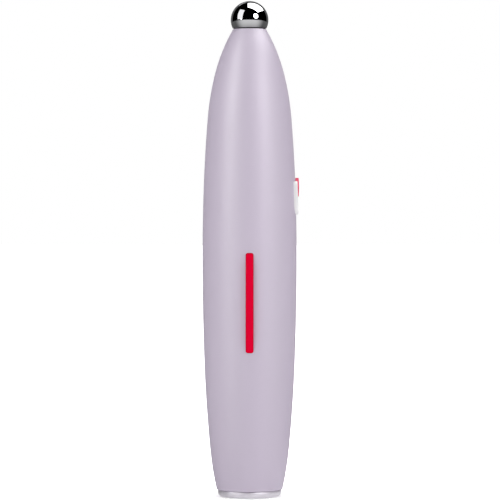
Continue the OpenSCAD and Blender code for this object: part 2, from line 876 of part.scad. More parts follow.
// Point at a share t of the smooth bend between the two middle knots, which leaves and arrives upright
function ease(t) = t * t * (3 - 2 * t);
function bend_point(a, b, t) = [
    a[0] + (b[0] - a[0]) * ease(t),
    a[1] + (b[1] - a[1]) * ease(t),
    a[2] + (b[2] - a[2]) * t
];
lead_path = [
    lead_knots[0],
    for (i = [0 : lead_steps]) bend_point(lead_knots[1], lead_knots[2], i / lead_steps),
    lead_knots[3]
];

module probe_lead() {
    count = len(lead_path);
    rings = [
        for (p = lead_path, s = [0 : lead_sides - 1])
            p + lead_r * [cos(360 * s / lead_sides), sin(360 * s / lead_sides), 0]
    ];
    sides = [
        for (i = [0 : count - 2], s = [0 : lead_sides - 1])
            let (n = (s + 1) % lead_sides)
            each [
                [i * lead_sides + s, (i + 1) * lead_sides + n, i * lead_sides + n],
                [i * lead_sides + s, (i + 1) * lead_sides + s, (i + 1) * lead_sides + n]
            ]
    ];
    bottom = [for (s = [0 : lead_sides - 1]) s];
    top = [for (s = [lead_sides - 1 : -1 : 0]) (count - 1) * lead_sides + s];
    color([0.75, 0.1, 0.1]) polyhedron(points = rings, faces = concat([bottom, top], sides));
}

module inner_chassis() {
    color(chassis_grey) difference() {
        union() {
            for (side = [-1, 1]) {
                translate([side * (rail_out - rail_w / 2) - rail_w / 2, board_back, chassis_low_h]) {
                    cube([rail_w, rail_t, chassis_len]);
                }
            }
            for (h = [chassis_low_h, chassis_high_h - crossbar_h]) {
                translate([-rail_out, board_back, h]) cube([2 * rail_out, crossbar_t, crossbar_h]);
            }
            for (h = cradle_heights) {
                translate([0, 0, h]) linear_extrude(height = cradle_t) {
                    difference() {
                        intersection() {
                            circle(r = body_r(cell_low_h, -wall) - cradle_margin, $fn = fine);
                            translate([-rail_out, board_back]) {
                                square([2 * rail_out, cradle_back - board_back]);
                            }
                        }
                        translate([0, cell_y]) circle(r = cell_r + cradle_clear, $fn = fine);
                        translate([-cell_r - cradle_clear, board_back - over]) {
                            square([2 * (cell_r + cradle_clear), cell_y - board_back + over]);
                        }
                    }
                }
            }
        }
        for (h = [low_bar_mid, high_bar_mid]) {
            y_rod(0, h, chassis_screw_r + fit, board_back - over, crossbar_t + 2 * over);
            for (side = [-1, 1]) {
                y_rod(side * board_screw_x, h, screw_hole_r, board_back - over, over + board_screw_hole);
            }
        }
    }
}

// Screw along +Y with a flat round head, its head's inner face at depth y
module y_screw(x, z, y, shank_r, shank_len, head_r, head_t) {
    y_rod(x, z, shank_r, y - eps, shank_len + eps);
    difference() {
        y_rod(x, z, head_r, y - head_t, head_t);
        translate([x, y - head_t, z]) cube([head_r * 1.2, head_t, head_r * 0.3], center = true);
        translate([x, y - head_t, z]) cube([head_r * 0.3, head_t, head_r * 1.2], center = true);
    }
}

module chassis_screws() {
    color(steel) for (h = [low_bar_mid, high_bar_mid]) {
        y_screw(0, h, board_back, chassis_screw_r, crossbar_t + chassis_screw_bite,
                chassis_screw_head_r, chassis_screw_head_t);
    }
}

// The board's screws: two at the foot and one at the top, where the lead takes the other corner
board_screw_spots = [
    [-board_screw_x, low_bar_mid],
    [board_screw_x, low_bar_mid],
    [-board_screw_x, high_bar_mid]
];

module board_screws() {
    color(steel) for (spot = board_screw_spots) {
        y_screw(spot[0], spot[1], board_front, board_screw_r, board_screw_len,
                board_screw_head_r, board_screw_head_t);
    }
}

module main_board() {
    color(board_green) difference() {
        union() {
            translate([-board_tongue_w / 2, board_front, board_low_h]) {
                cube([board_tongue_w, board_t, board_step_h - board_low_h + eps]);
            }
            translate([-board_w / 2, board_front, board_step_h]) {
                cube([board_w, board_t, board_high_h - board_step_h]);
            }
        }
        for (spot = board_screw_spots) {
            y_rod(spot[0], spot[1], screw_hole_r, board_front - over, board_t + 2 * over);
        }
        for (h = [low_bar_mid, high_bar_mid]) {
            y_rod(0, h, driver_hole_r, board_front - over, board_t + 2 * over);
        }
    }
}

// Block on the front of the board, centred at x and z
module front_block(x, z, w, h, t) {
    translate([x - w / 2, board_front - t, z - h / 2]) cube([w, t, h]);
}

module controller_chip() {
    color(black_resin) front_block(0, chip_mid_h, chip_w, chip_w, chip_t);
}

module charge_chip() {
    color(black_resin) front_block(0, charge_mid_h, charge_w, charge_w, chip_t);
}

// Small capacitors: a row under the controller and a column beside the charge chip
module board_capacitors() {
    color([0.75, 0.62, 0.45]) {
        for (i = [0 : 3]) {
            front_block((i - 1.5) * cap_pitch, cap_row_h, cap_part_w, cap_part_len, cap_part_w);
        }
        for (i = [-1 : 1]) {
            front_block(cap_column_x, charge_mid_h + i * cap_pitch, cap_part_len, cap_part_w, cap_part_w);
        }
    }
}

module boost_coil() {
    color([0.25, 0.25, 0.27]) {
        translate([-coil_w / 2, board_back, coil_mid_h - coil_w / 2]) cube([coil_w, coil_base_t, coil_w]);
        y_rod(0, coil_mid_h, coil_core_r, board_back, coil_t - eps);
        y_rod(0, coil_mid_h, coil_flange_r, board_back + coil_t - coil_flange_t, coil_flange_t);
    }
    color([0.7, 0.4, 0.2]) difference() {
        y_rod(0, coil_mid_h, coil_wire_r, board_back + coil_base_t, coil_t - coil_base_t - coil_flange_t);
        y_rod(0, coil_mid_h, coil_core_r, board_back, coil_t);
    }
}

module usb_shell() {
    color(steel) translate([0, 0, usb_recess]) difference() {
        linear_extrude(height = usb_len) stadium(usb_w, usb_h);
        translate([0, 0, -over]) linear_extrude(height = usb_len - usb_wall + over) {
            stadium(usb_w - 2 * usb_wall, usb_h - 2 * usb_wall);
        }
    }
}

module usb_tongue() {
    plug_t = 1.1;
    tongue_setback = 1.5;
    tongue_reach = usb_len - usb_wall - plug_t - tongue_setback;
    back = usb_recess + usb_len - usb_wall;
    color(black_resin) {
        translate([0, 0, back - plug_t]) linear_extrude(height = plug_t) {
            stadium(usb_w - 2 * usb_wall - 2 * eps, usb_h - 2 * usb_wall - 2 * eps);
        }
        translate([-tongue_w / 2, -tongue_t / 2, back - plug_t - tongue_reach]) {
            cube([tongue_w, tongue_t, tongue_reach + eps]);
        }
    }
}

// The leaf springs out from the board's tongue to the inside of the spigot
module return_contact() {
    leaf_w = 2.6;
    leaf_t = 0.2;
    leaf_foot = 2.6;
    lip_rise = 1.4;
    lip_back = 1;
    foot_drop = 0.6;
    touch_rise = 2.6;
    foot_high = board_step_h - foot_drop;
    foot_low = foot_high - leaf_foot;
    touch_h = cap_base_t + touch_rise;
    touch_y = -(depth_at(spigot_bore_r, leaf_w / 2) - eps);
    color([0.85, 0.72, 0.35]) translate([-leaf_w / 2, 0, 0]) x_plate(0, leaf_w) {
        polygon([
            [board_front, foot_high],
            [board_front, foot_low],
            [touch_y + leaf_t, touch_h],
            [touch_y + lip_back, touch_h - lip_rise],
            [touch_y + lip_back - leaf_t, touch_h - lip_rise],
            [touch_y, touch_h],
            [board_front - leaf_t, foot_low],
            [board_front - leaf_t, foot_high]
        ]);
    }
}

module battery_cell() {
    button_r = 1.8;
    button_t = 0.4;
    color([0.25, 0.45, 0.7]) translate([0, cell_y, cell_low_h + tab_t]) {
        cylinder(r = cell_r, h = cell_len - 2 * tab_t - button_t, $fn = fine);
        cylinder(r = button_r, h = cell_len - 2 * tab_t, $fn = round_fn);
    }
}

module battery_tabs() {
    color(steel) for (top = [0, 1]) {
        face = top == 0 ? cell_low_h : cell_high_h - tab_t;
        leg = top == 0 ? cell_low_h - tab_leg : cell_high_h - tab_t;
        translate([-tab_w / 2, board_back, face]) cube([tab_w, cell_y - board_back + tab_over, tab_t]);
        translate([-tab_w / 2, board_back, leg]) cube([tab_w, tab_t, tab_leg + tab_t]);
    }
}

module battery_foam() {
    color([0.15, 0.15, 0.16]) difference() {
        translate([-foam_w / 2, cell_y, foam_low_h]) cube([foam_w, foam_back - cell_y, foam_len]);
        translate([0, cell_y, foam_low_h - over]) cylinder(r = cell_r, h = foam_len + 2 * over, $fn = fine);
    }
}

button_side_shell();
plain_side_shell();
end_cap();
cap_seal();
port_bezel();
side_button();
button_pad();
switch_plunger();
switch_body();
badge_plate();
badge_dot();
probe_ball();
probe_gasket();
probe_stud();
neck_bush();
ring_terminal();
lock_washer();
stud_nut();
probe_lead();
inner_chassis();
chassis_screws();
main_board();
board_screws();
controller_chip();
charge_chip();
boost_coil();
board_capacitors();
usb_shell();
usb_tongue();
return_contact();
battery_cell();
battery_tabs();
battery_foam();
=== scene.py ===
"""A microcurrent face lift pen with a ball probe, finished and lit as in a studio.

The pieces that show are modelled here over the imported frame. The pieces inside the body keep their
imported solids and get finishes. Sizes are in millimetres in the frame's own axes: +Z runs up the
pen, the push button faces -Y and the badge faces +X.
"""

from __future__ import annotations

import logging
import math
from collections.abc import Callable, Sequence
from dataclasses import dataclass, field
from enum import Enum

import bmesh
import bpy
from mathutils import Matrix, Vector

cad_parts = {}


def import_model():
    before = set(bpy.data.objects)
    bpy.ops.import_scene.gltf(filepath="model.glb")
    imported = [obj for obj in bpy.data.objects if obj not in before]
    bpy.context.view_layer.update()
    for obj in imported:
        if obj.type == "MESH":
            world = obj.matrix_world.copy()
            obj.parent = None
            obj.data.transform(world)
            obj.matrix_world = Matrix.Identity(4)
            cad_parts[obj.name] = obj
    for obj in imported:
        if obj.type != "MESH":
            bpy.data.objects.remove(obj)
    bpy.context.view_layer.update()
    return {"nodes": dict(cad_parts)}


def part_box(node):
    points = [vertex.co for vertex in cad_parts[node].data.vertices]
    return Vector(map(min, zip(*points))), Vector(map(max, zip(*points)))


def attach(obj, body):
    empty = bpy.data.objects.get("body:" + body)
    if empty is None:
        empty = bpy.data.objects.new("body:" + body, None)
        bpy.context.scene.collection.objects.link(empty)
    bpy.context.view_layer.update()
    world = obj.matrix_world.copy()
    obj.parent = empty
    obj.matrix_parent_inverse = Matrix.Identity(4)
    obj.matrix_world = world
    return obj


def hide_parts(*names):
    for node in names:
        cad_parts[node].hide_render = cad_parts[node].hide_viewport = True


LOG = logging.getLogger("face_pen")
MM = 0.001
# Distance under which two points are one
CLOSE = 1e-3
# Distance under which a corner lies in a cutting plane
ON_PLANE = 1e-4
# Distance under which a face or an edge lies at the place looked for
NEAR = 0.01
# What rounding can add to a height
ROUNDING = 1e-6
# Part of a direction that has to lie along an axis for a face or an edge to point that way
ALONG = 0.9
# The same for the faces of a curved front, and for those of a flat end
ROUGHLY_ALONG = 0.5
SQUARE_ON = 0.999
# How far a tool reaches past what it cuts or joins
OVERLAP = 1.0
WHITE = (1, 1, 1, 1)

Point = tuple[float, float]
Colour = tuple[float, float, float]
Direction = tuple[float, float, float]
Piece = bpy.types.Object
Socket = bpy.types.NodeSocket
Test = Callable[[Vector, Vector], bool]


class Part(Enum):
    """What an edit-mode selection is made of."""

    VERTS = "VERT"
    EDGES = "EDGE"
    FACES = "FACE"


class Cut(Enum):
    """How one closed piece acts on another."""

    OFF = "DIFFERENCE"
    ON = "UNION"


class Body(Enum):
    """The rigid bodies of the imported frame."""

    PEN = "pen_body"
    BUTTON = "button"


@dataclass(frozen=True)
class Arc:
    """One circular arc of the body's side.

    Attributes:
        high: Height of its upper end.
        centre: Centre of its circle, as distance from the axis and height.
        radius: Radius, negative where the side is hollow.
    """

    high: float
    centre: Point
    radius: float

    def top(self, offset: float) -> float:
        """Gives the height of the upper end, moved out from the surface by an offset."""
        return self.high + (self.high - self.centre[1]) * (offset / self.radius)

    def distance(self, height: float, offset: float) -> float:
        """Measures from the axis to the arc.

        Args:
            height: Height to measure at.
            offset: Distance out from the surface.

        Returns:
            The distance from the axis.
        """
        side = math.copysign(1.0, self.radius)
        reach = abs(self.radius) + side * offset
        return self.centre[0] + side * math.sqrt(reach**2 - (height - self.centre[1]) ** 2)


@dataclass(frozen=True)
class Station:
    """A place on the side of the body: its diameter, its height and the side's lean in degrees."""

    diameter: float
    height: float
    lean: float

    def place(self) -> Vector:
        """Gives the station's point, as distance from the axis and height."""
        return Vector((self.diameter / 2, self.height))

    def direction(self) -> Vector:
        """Gives the direction in which the side runs up."""
        lean = math.radians(self.lean)
        return Vector((-math.sin(lean), math.cos(lean)))

    def inward(self) -> Vector:
        """Gives the direction from the side towards the axis."""
        lean = math.radians(self.lean)
        return Vector((-math.cos(lean), -math.sin(lean)))


@dataclass
class Outline:
    """The side of the pen's body, as smooth arcs through its stations."""

    stations: tuple[Station, ...] = (
        Station(17.44, 1.75, -13.0),
        Station(20.8, 12.0, -5.7),
        Station(25.0, 63.5, 0.0),
        Station(22.2, 100.6, 4.7),
        Station(8.8, 124.0, 30.0),
    )
    arcs: list[Arc] = field(default_factory=list)
    finest_turn: float = 3.0

    def __post_init__(self) -> None:
        """Draws the pair of arcs between each two stations."""
        for below, above in zip(self.stations, self.stations[1:]):
            self.arcs += self._pair(below, above)

    @staticmethod
    def _arc(high: Vector, start: Vector, inward: Vector, end: Vector) -> Arc:
        """Draws an arc that touches the side at its start and passes through its end.

        Args:
            high: Whichever of the two ends is the upper one.
            start: The end at which the side's direction is known.
            inward: Direction from that end towards the axis.
            end: The other end.

        Returns:
            The arc.
        """
        span = end - start
        radius = span.dot(span) / (2 * inward.dot(span))
        return Arc(high.y, tuple(start + inward * radius), radius)

    def _pair(self, below: Station, above: Station) -> list[Arc]:
        """Joins two stations with two arcs whose tangents are equally long.

        Args:
            below: Lower station.
            above: Upper station, where the side leans another way.

        Returns:
            The two arcs.
        """
        low, high = below.place(), above.place()
        out, back = below.direction(), above.direction()
        span = high - low
        square = 2 * (out.dot(back) - 1)
        linear = -2 * span.dot(out + back)
        root = math.sqrt(linear**2 - 4 * square * span.dot(span))
        reach = (-linear - root) / (2 * square)
        middle = (low + high + reach * (out - back)) / 2
        return [
            self._arc(middle, low, below.inward(), middle),
            self._arc(high, high, above.inward(), middle),
        ]

    def radius_at(self, height: float, offset: float = 0.0) -> float:
        """Measures the body's radius.

        Args:
            height: Height above the base.
            offset: Distance out from the surface.

        Returns:
            The radius at that height.
        """
        for arc in self.arcs:
            if height <= arc.top(offset) + ROUNDING:
                return arc.distance(height, offset)
        return self.arcs[-1].distance(height, offset)

    def lean_at(self, height: float) -> float:
        """Gives the side's lean at a height, in radians."""
        return math.atan((self.radius_at(height - 1) - self.radius_at(height + 1)) / 2)

    def points(self, low: float, high: float, offset: float, step: float) -> list[Point]:
        """Walks up the side.

        Args:
            low: Height to start at.
            high: Height to end at.
            offset: Distance out from the surface.
            step: Largest step in height.

        Returns:
            Points from low to high, closer together where the side bends more.
        """
        heights = [low]
        for arc in self.arcs:
            top = min(arc.top(offset), high)
            if top <= heights[-1]:
                continue
            finest = min(step, abs(arc.radius) * math.radians(self.finest_turn))
            count = math.ceil((top - heights[-1]) / finest)
            start = heights[-1]
            heights += [start + (top - start) * (i + 1) / count for i in range(count)]
        return [(self.radius_at(h, offset), h) for h in heights]


class Bench:
    """The modelling tools, each a few steps of edit mode."""

    ROD_SIDES = 48
    # Chamfer of a rod's end, as a share of its radius, or of a millimetre where that is less
    ROD_CHAMFER = 0.1

    @staticmethod
    def clear() -> None:
        """Leaves edit mode and deselects everything."""
        if bpy.context.mode != "OBJECT":
            bpy.ops.object.mode_set(mode="OBJECT")
        bpy.ops.object.select_all(action="DESELECT")

    @staticmethod
    def choose(*pieces: Piece) -> None:
        """Selects whole pieces and makes the first one active.

        Args:
            *pieces: The pieces.
        """
        Bench.clear()
        for piece in pieces:
            piece.select_set(True)
        bpy.context.view_layer.objects.active = pieces[0]

    @staticmethod
    def take(name: str) -> Piece:
        """Names the primitive just added and puts its place in its mesh.

        Args:
            name: Name of the piece.

        Returns:
            The piece, with edit mode open and everything selected.
        """
        piece = bpy.context.object
        piece.name = name
        piece.data.name = name
        bpy.ops.object.transform_apply(location=True, rotation=True, scale=True)
        bpy.ops.object.mode_set(mode="EDIT")
        bpy.ops.mesh.select_mode(type="VERT")
        bpy.ops.mesh.select_all(action="SELECT")
        return piece

    @staticmethod
    def pick(part: Part, test: Test) -> None:
        """Selects what passes a test in the mesh being edited.

        Args:
            part: Whether verts, edges or faces are selected.
            test: Takes the middle in millimetres, and the normal or the edge's direction.
        """
        bpy.ops.mesh.select_mode(type=part.value)
        bpy.ops.mesh.select_all(action="DESELECT")
        mesh = bpy.context.object.data
        work = bmesh.from_edit_mesh(mesh)
        groups = {Part.VERTS: work.verts, Part.EDGES: work.edges, Part.FACES: work.faces}
        for item in groups[part]:
            if part is Part.EDGES:
                start, end = (v.co for v in item.verts)
                place, way = (start + end) / 2, (end - start).normalized()
            elif part is Part.FACES:
                place, way = item.calc_center_median(), item.normal
            else:
                place, way = item.co, item.normal
            if test(place / MM, way):
                item.select_set(True)
        work.select_flush_mode()
        bmesh.update_edit_mesh(mesh)

    @staticmethod
    def extrude(step: Sequence[float]) -> None:
        """Extrudes the selection by a step in metres."""
        bpy.ops.mesh.extrude_region_move(TRANSFORM_OT_translate={"value": step})

    @staticmethod
    def draw(name: str, places: Sequence[Vector]) -> Piece:
        """Draws a chain of edges, one corner at a time.

        Args:
            name: Name of the piece.
            places: The corners, in millimetres.

        Returns:
            The piece, with edit mode open.
        """
        Bench.clear()
        here = places[0]
        bpy.ops.mesh.primitive_plane_add(size=MM, location=here * MM)
        piece = Bench.take(name)
        bpy.ops.mesh.merge(type="CENTER")
        for place in places[1:]:
            Bench.extrude((place - here) * MM)
            here = place
        return piece

    @staticmethod
    def section(name: str, points: Sequence[Point]) -> Piece:
        """Draws a section in the XZ plane from distances from the axis and heights."""
        return Bench.draw(name, [Vector((x, 0, z)) for x, z in points])

    @staticmethod
    def close_section(points: Sequence[Point]) -> None:
        """Joins the last corner of the section being drawn to the first.

        Args:
            points: The section's corners, as distances from the axis and heights.
        """
        ends = (points[0], points[-1])
        Bench.pick(
            Part.VERTS,
            lambda at, _: any(math.hypot(at.x - x, at.z - z) < CLOSE for x, z in ends),
        )
        bpy.ops.mesh.edge_face_add()

    @staticmethod
    def lathe(name: str, points: Sequence[Point], steps: int) -> Piece:
        """Turns a section once round the axis.

        Args:
            name: Name of the piece.
            points: Corners of the section; its ends lie on the axis, or it closes on itself.
            steps: Steps of the turn.

        Returns:
            The closed piece, in object mode.
        """
        piece = Bench.section(name, points)
        if points[0][0] > CLOSE or points[-1][0] > CLOSE:
            Bench.close_section(points)
        bpy.ops.mesh.select_all(action="SELECT")
        bpy.ops.mesh.spin(steps=steps, angle=math.tau, center=(0, 0, 0), axis=(0, 0, 1))
        Bench.tidy()
        return piece

    @staticmethod
    def mend() -> None:
        """Merges doubles and points the faces outwards."""
        bpy.ops.mesh.select_all(action="SELECT")
        bpy.ops.mesh.remove_doubles(threshold=CLOSE * MM)
        bpy.ops.mesh.normals_make_consistent(inside=False)

    @staticmethod
    def tidy() -> None:
        """Mends the mesh and leaves edit mode."""
        Bench.mend()
        bpy.ops.object.mode_set(mode="OBJECT")

    @staticmethod
    def bevel(width: float, segments: int, corners: bool = False) -> None:
        """Rounds the selected edges.

        Args:
            width: Width of the round, in millimetres.
            segments: Facets across it.
            corners: True to round corners of an outline instead of edges.
        """
        bpy.ops.mesh.bevel(
            offset=width * MM,
            segments=segments,
            affect="VERTICES" if corners else "EDGES",
            clamp_overlap=True,
        )

    @staticmethod
    def round_rim(test: Test, width: float, segments: int) -> None:
        """Rounds the rim round the faces that pass a test.

        Args:
            test: Takes a face's middle in millimetres and its normal.
            width: Width of the round, in millimetres.
            segments: Facets across it.
        """
        Bench.pick(Part.FACES, test)
        bpy.ops.mesh.region_to_loop()
        Bench.bevel(width, segments)

    @staticmethod
    def slice_at(height: float) -> None:
        """Cuts new edges round the mesh being edited.

        Args:
            height: Height of the cut, in millimetres.
        """
        bpy.ops.mesh.select_all(action="SELECT")
        bpy.ops.mesh.bisect(
            plane_co=(0, 0, height * MM), plane_no=(0, 0, 1), threshold=ON_PLANE * MM
        )

    @staticmethod
    def block(name: str, middle: Sequence[float], size: Sequence[float]) -> Piece:
        """Models a block along the axes.

        Args:
            name: Name of the piece.
            middle: Its middle, in millimetres.
            size: Its size along X, Y and Z.

        Returns:
            The block, with edit mode open.
        """
        Bench.clear()
        place = [number * MM for number in middle]
        bpy.ops.mesh.primitive_cube_add(size=MM, location=place, scale=size)
        return Bench.take(name)

    @staticmethod
    def rod(name: str, start: Vector, way: Vector, radius: float, length: float) -> Piece:
        """Models a round rod with a small chamfer at its far end.

        Args:
            name: Name of the piece.
            start: Middle of the near end, in millimetres.
            way: Direction of the axis.
            radius: Radius of the rod.
            length: Length of the rod.

        Returns:
            The rod, in object mode.
        """
        Bench.clear()
        bpy.ops.mesh.primitive_cylinder_add(
            vertices=Bench.ROD_SIDES,
            radius=radius * MM,
            depth=length * MM,
            location=(start + way * (length / 2)) * MM,
            rotation=way.to_track_quat("Z", "Y").to_euler(),
        )
        piece = Bench.take(name)
        chamfer = min(1.0, radius) * Bench.ROD_CHAMFER
        Bench.round_rim(lambda _, out: out.dot(way) > ALONG, chamfer, 1)
        Bench.tidy()
        return piece

    @staticmethod
    def gather(pieces: Sequence[Piece]) -> Piece:
        """Makes one piece of several that don't touch.

        Args:
            pieces: The pieces.

        Returns:
            The first piece, which now holds them all.
        """
        Bench.choose(*pieces)
        bpy.ops.object.join()
        return pieces[0]

    @staticmethod
    def combine(piece: Piece, other: Piece, operation: Cut) -> None:
        """Cuts one closed piece with another, or joins the two, and removes the other.

        Args:
            piece: The piece that stays.
            other: The piece that is taken away from it or added to it.
            operation: What is done.
        """
        Bench.choose(piece)
        step = piece.modifiers.new(other.name, "BOOLEAN")
        step.operation = operation.value
        step.solver = "EXACT"
        step.object = other
        bpy.ops.object.modifier_apply(modifier=step.name)
        bpy.data.objects.remove(other)

    @staticmethod
    def smooth(piece: Piece, angle: float = 32.0) -> None:
        """Shades a piece smooth across its gentler edges.

        Args:
            piece: The piece.
            angle: Angle past which an edge stays sharp, in degrees.
        """
        Bench.choose(piece)
        bpy.ops.object.shade_smooth_by_angle(angle=math.radians(angle))
        piece.select_set(False)


class Wiring:
    """Adds nodes to one tree, from left to right, and joins them."""

    COLUMN_WIDTH = 220

    def __init__(self, tree: bpy.types.NodeTree) -> None:
        """Takes an empty tree."""
        self.tree = tree
        self.column = 0

    @classmethod
    def of(cls, owner: bpy.types.ID) -> Wiring:
        """Empties the tree of a material or a world.

        Args:
            owner: The material or the world.

        Returns:
            The tree's wiring.
        """
        owner.use_nodes = True
        owner.node_tree.nodes.clear()
        return cls(owner.node_tree)

    def add(self, kind: str, **settings: object) -> bpy.types.Node:
        """Adds a node.

        Args:
            kind: Blender's name for the node's type.
            **settings: Properties of the node; a name that is an input's feeds that input.

        Returns:
            The node.
        """
        node = self.tree.nodes.new(kind)
        node.location = (self.COLUMN_WIDTH * self.column, 0)
        self.column += 1
        for name, value in settings.items():
            label = name.replace("_", " ").title()
            if label in node.inputs:
                self.feed(value, node.inputs[label])
            else:
                setattr(node, name, value)
        return node

    def feed(self, value: object, target: Socket) -> None:
        """Joins an output to an input, or gives the input a fixed value.

        Args:
            value: The output, or the value.
            target: The input.
        """
        if isinstance(value, Socket):
            self.tree.links.new(value, target)
        else:
            target.default_value = value

    def math(self, operation: str, *values: object) -> Socket:
        """Adds a Math node.

        Args:
            operation: The node's operation.
            *values: Numbers, or sockets to join.

        Returns:
            The result's socket.
        """
        node = self.add("ShaderNodeMath", operation=operation)
        for slot, value in zip(node.inputs, values):
            self.feed(value, slot)
        return node.outputs[0]

    def blend(
        self, value: Socket, start: Sequence, result: Sequence, way: str = "SMOOTHSTEP"
    ) -> Socket:
        """Blends from one result to another.

        Args:
            value: The measure that decides.
            start: The measures at which the blend starts and ends.
            result: The result at each.
            way: Blender's name for the kind of blend.

        Returns:
            The result's socket.
        """
        return self.add(
            "ShaderNodeMapRange",
            interpolation_type=way,
            value=value,
            from_min=start[0],
            from_max=start[1],
            to_min=result[0],
            to_max=result[1],
        ).outputs["Result"]

    def measure(self, place: Socket) -> tuple[Socket, Socket, Socket, Socket]:
        """Splits a place and measures from it to the pen's axis.

        Args:
            place: The place.

        Returns:
            Its X, Y and Z, and its distance from the axis.
        """
        x, y, z = self.add("ShaderNodeSeparateXYZ", vector=place).outputs
        square = self.math("MULTIPLY_ADD", y, y, self.math("MULTIPLY", x, x))
        return x, y, z, self.math("SQRT", square)


class Effect(Enum):
    """Surface effects that the finishes share."""

    TONE = "Tone drift"
    GRAIN = "Moulded grain"
    TURNED = "Turned lines"
    HANDLING = "Handling marks"


class EffectShelf:
    """Builds each shared effect once, as a node group."""

    KINDS = {"Color": "NodeSocketColor", "Vector": "NodeSocketVector"}
    NOISE_MIDDLE = 0.5
    PIT_SHARE = 0.4
    PATCHES = (0.3, 0.7)

    def get(self, effect: Effect) -> bpy.types.NodeTree:
        """Gives the group of an effect, made on first use.

        Args:
            effect: The effect wanted.

        Returns:
            Its node group.
        """
        made = bpy.data.node_groups.get(effect.value)
        if made:
            return made
        builders = {
            Effect.TONE: self._tone,
            Effect.GRAIN: self._grain,
            Effect.TURNED: self._turned,
            Effect.HANDLING: self._handling,
        }
        return builders[effect]()

    def _start(
        self, effect: Effect, inputs: Sequence[str], output: str
    ) -> tuple[Wiring, bpy.types.NodeOutputs, Socket]:
        """Makes an empty group with its sockets.

        Args:
            effect: The effect, which names the group.
            inputs: Names of the inputs.
            output: Name of the output.

        Returns:
            The group's wiring, what its inputs give, and the socket of its result.
        """
        group = bpy.data.node_groups.new(effect.value, "ShaderNodeTree")
        for way, names in (("INPUT", inputs), ("OUTPUT", (output,))):
            for name in names:
                kind = self.KINDS.get(name, "NodeSocketFloat")
                group.interface.new_socket(name=name, in_out=way, socket_type=kind)
        wiring = Wiring(group)
        given = wiring.add("NodeGroupInput").outputs
        return wiring, given, wiring.add("NodeGroupOutput").inputs[output]

    @staticmethod
    def _scale(wiring: Wiring, given: bpy.types.NodeOutputs) -> Socket:
        """Turns the group's Size input into a noise scale."""
        return wiring.math("DIVIDE", 1.0, given["Size"])

    def _noise(
        self, wiring: Wiring, given: bpy.types.NodeOutputs, detail: float, roughness: float
    ) -> Socket:
        """Adds noise at the group's place and size.

        Args:
            wiring: The group's wiring.
            given: What its inputs give.
            detail: How many finer layers the noise has.
            roughness: How strong the finer layers are.

        Returns:
            The noise's height.
        """
        noise = wiring.add("ShaderNodeTexNoise", detail=detail, roughness=roughness)
        wiring.feed(given["Vector"], noise.inputs["Vector"])
        wiring.feed(self._scale(wiring, given), noise.inputs["Scale"])
        return noise.outputs["Fac"]

    def _tone(self) -> bpy.types.NodeTree:
        """Builds a slow drift in lightness over the surface.

        Returns:
            The effect's node group.
        """
        inputs = ("Color", "Vector", "Size", "Amount")
        wiring, given, result = self._start(Effect.TONE, inputs, "Color")
        noise = self._noise(wiring, given, detail=3.0, roughness=0.5)
        swing = wiring.math("SUBTRACT", noise, self.NOISE_MIDDLE)
        value = wiring.math("MULTIPLY_ADD", swing, given["Amount"], 1.0)
        shade = wiring.add("ShaderNodeHueSaturation", value=value, color=given["Color"])
        wiring.feed(shade.outputs["Color"], result)
        return wiring.tree

    def _grain(self) -> bpy.types.NodeTree:
        """Builds the fine grain that a spark-finished mould leaves.

        Returns:
            The effect's node group.
        """
        wiring, given, result = self._start(Effect.GRAIN, ("Vector", "Size"), "Height")
        noise = self._noise(wiring, given, detail=2.0, roughness=0.6)
        pits = wiring.add("ShaderNodeTexVoronoi", feature="SMOOTH_F1", vector=given["Vector"])
        wiring.feed(self._scale(wiring, given), pits.inputs["Scale"])
        depth = pits.outputs["Distance"]
        wiring.feed(wiring.math("MULTIPLY_ADD", depth, self.PIT_SHARE, noise), result)
        return wiring.tree

    def _turned(self) -> bpy.types.NodeTree:
        """Builds the rings that a lathe leaves, round the pen's axis.

        Returns:
            The effect's node group.
        """
        wiring, given, result = self._start(Effect.TURNED, ("Vector", "Size"), "Height")
        _, _, height, reach = wiring.measure(given["Vector"])
        rings = wiring.add("ShaderNodeTexNoise", noise_dimensions="1D", detail=4.0)
        wiring.feed(wiring.math("ADD", reach, height), rings.inputs["W"])
        wiring.feed(self._scale(wiring, given), rings.inputs["Scale"])
        wiring.feed(rings.outputs["Fac"], result)
        return wiring.tree

    def _handling(self) -> bpy.types.NodeTree:
        """Builds faint patches where a hand has changed the gloss.

        Returns:
            The effect's node group.
        """
        inputs = ("Vector", "Size", "Low", "High")
        wiring, given, result = self._start(Effect.HANDLING, inputs, "Roughness")
        noise = self._noise(wiring, given, detail=4.0, roughness=0.65)
        limits = (given["Low"], given["High"])
        wiring.feed(wiring.blend(noise, self.PATCHES, limits, "LINEAR"), result)
        return wiring.tree


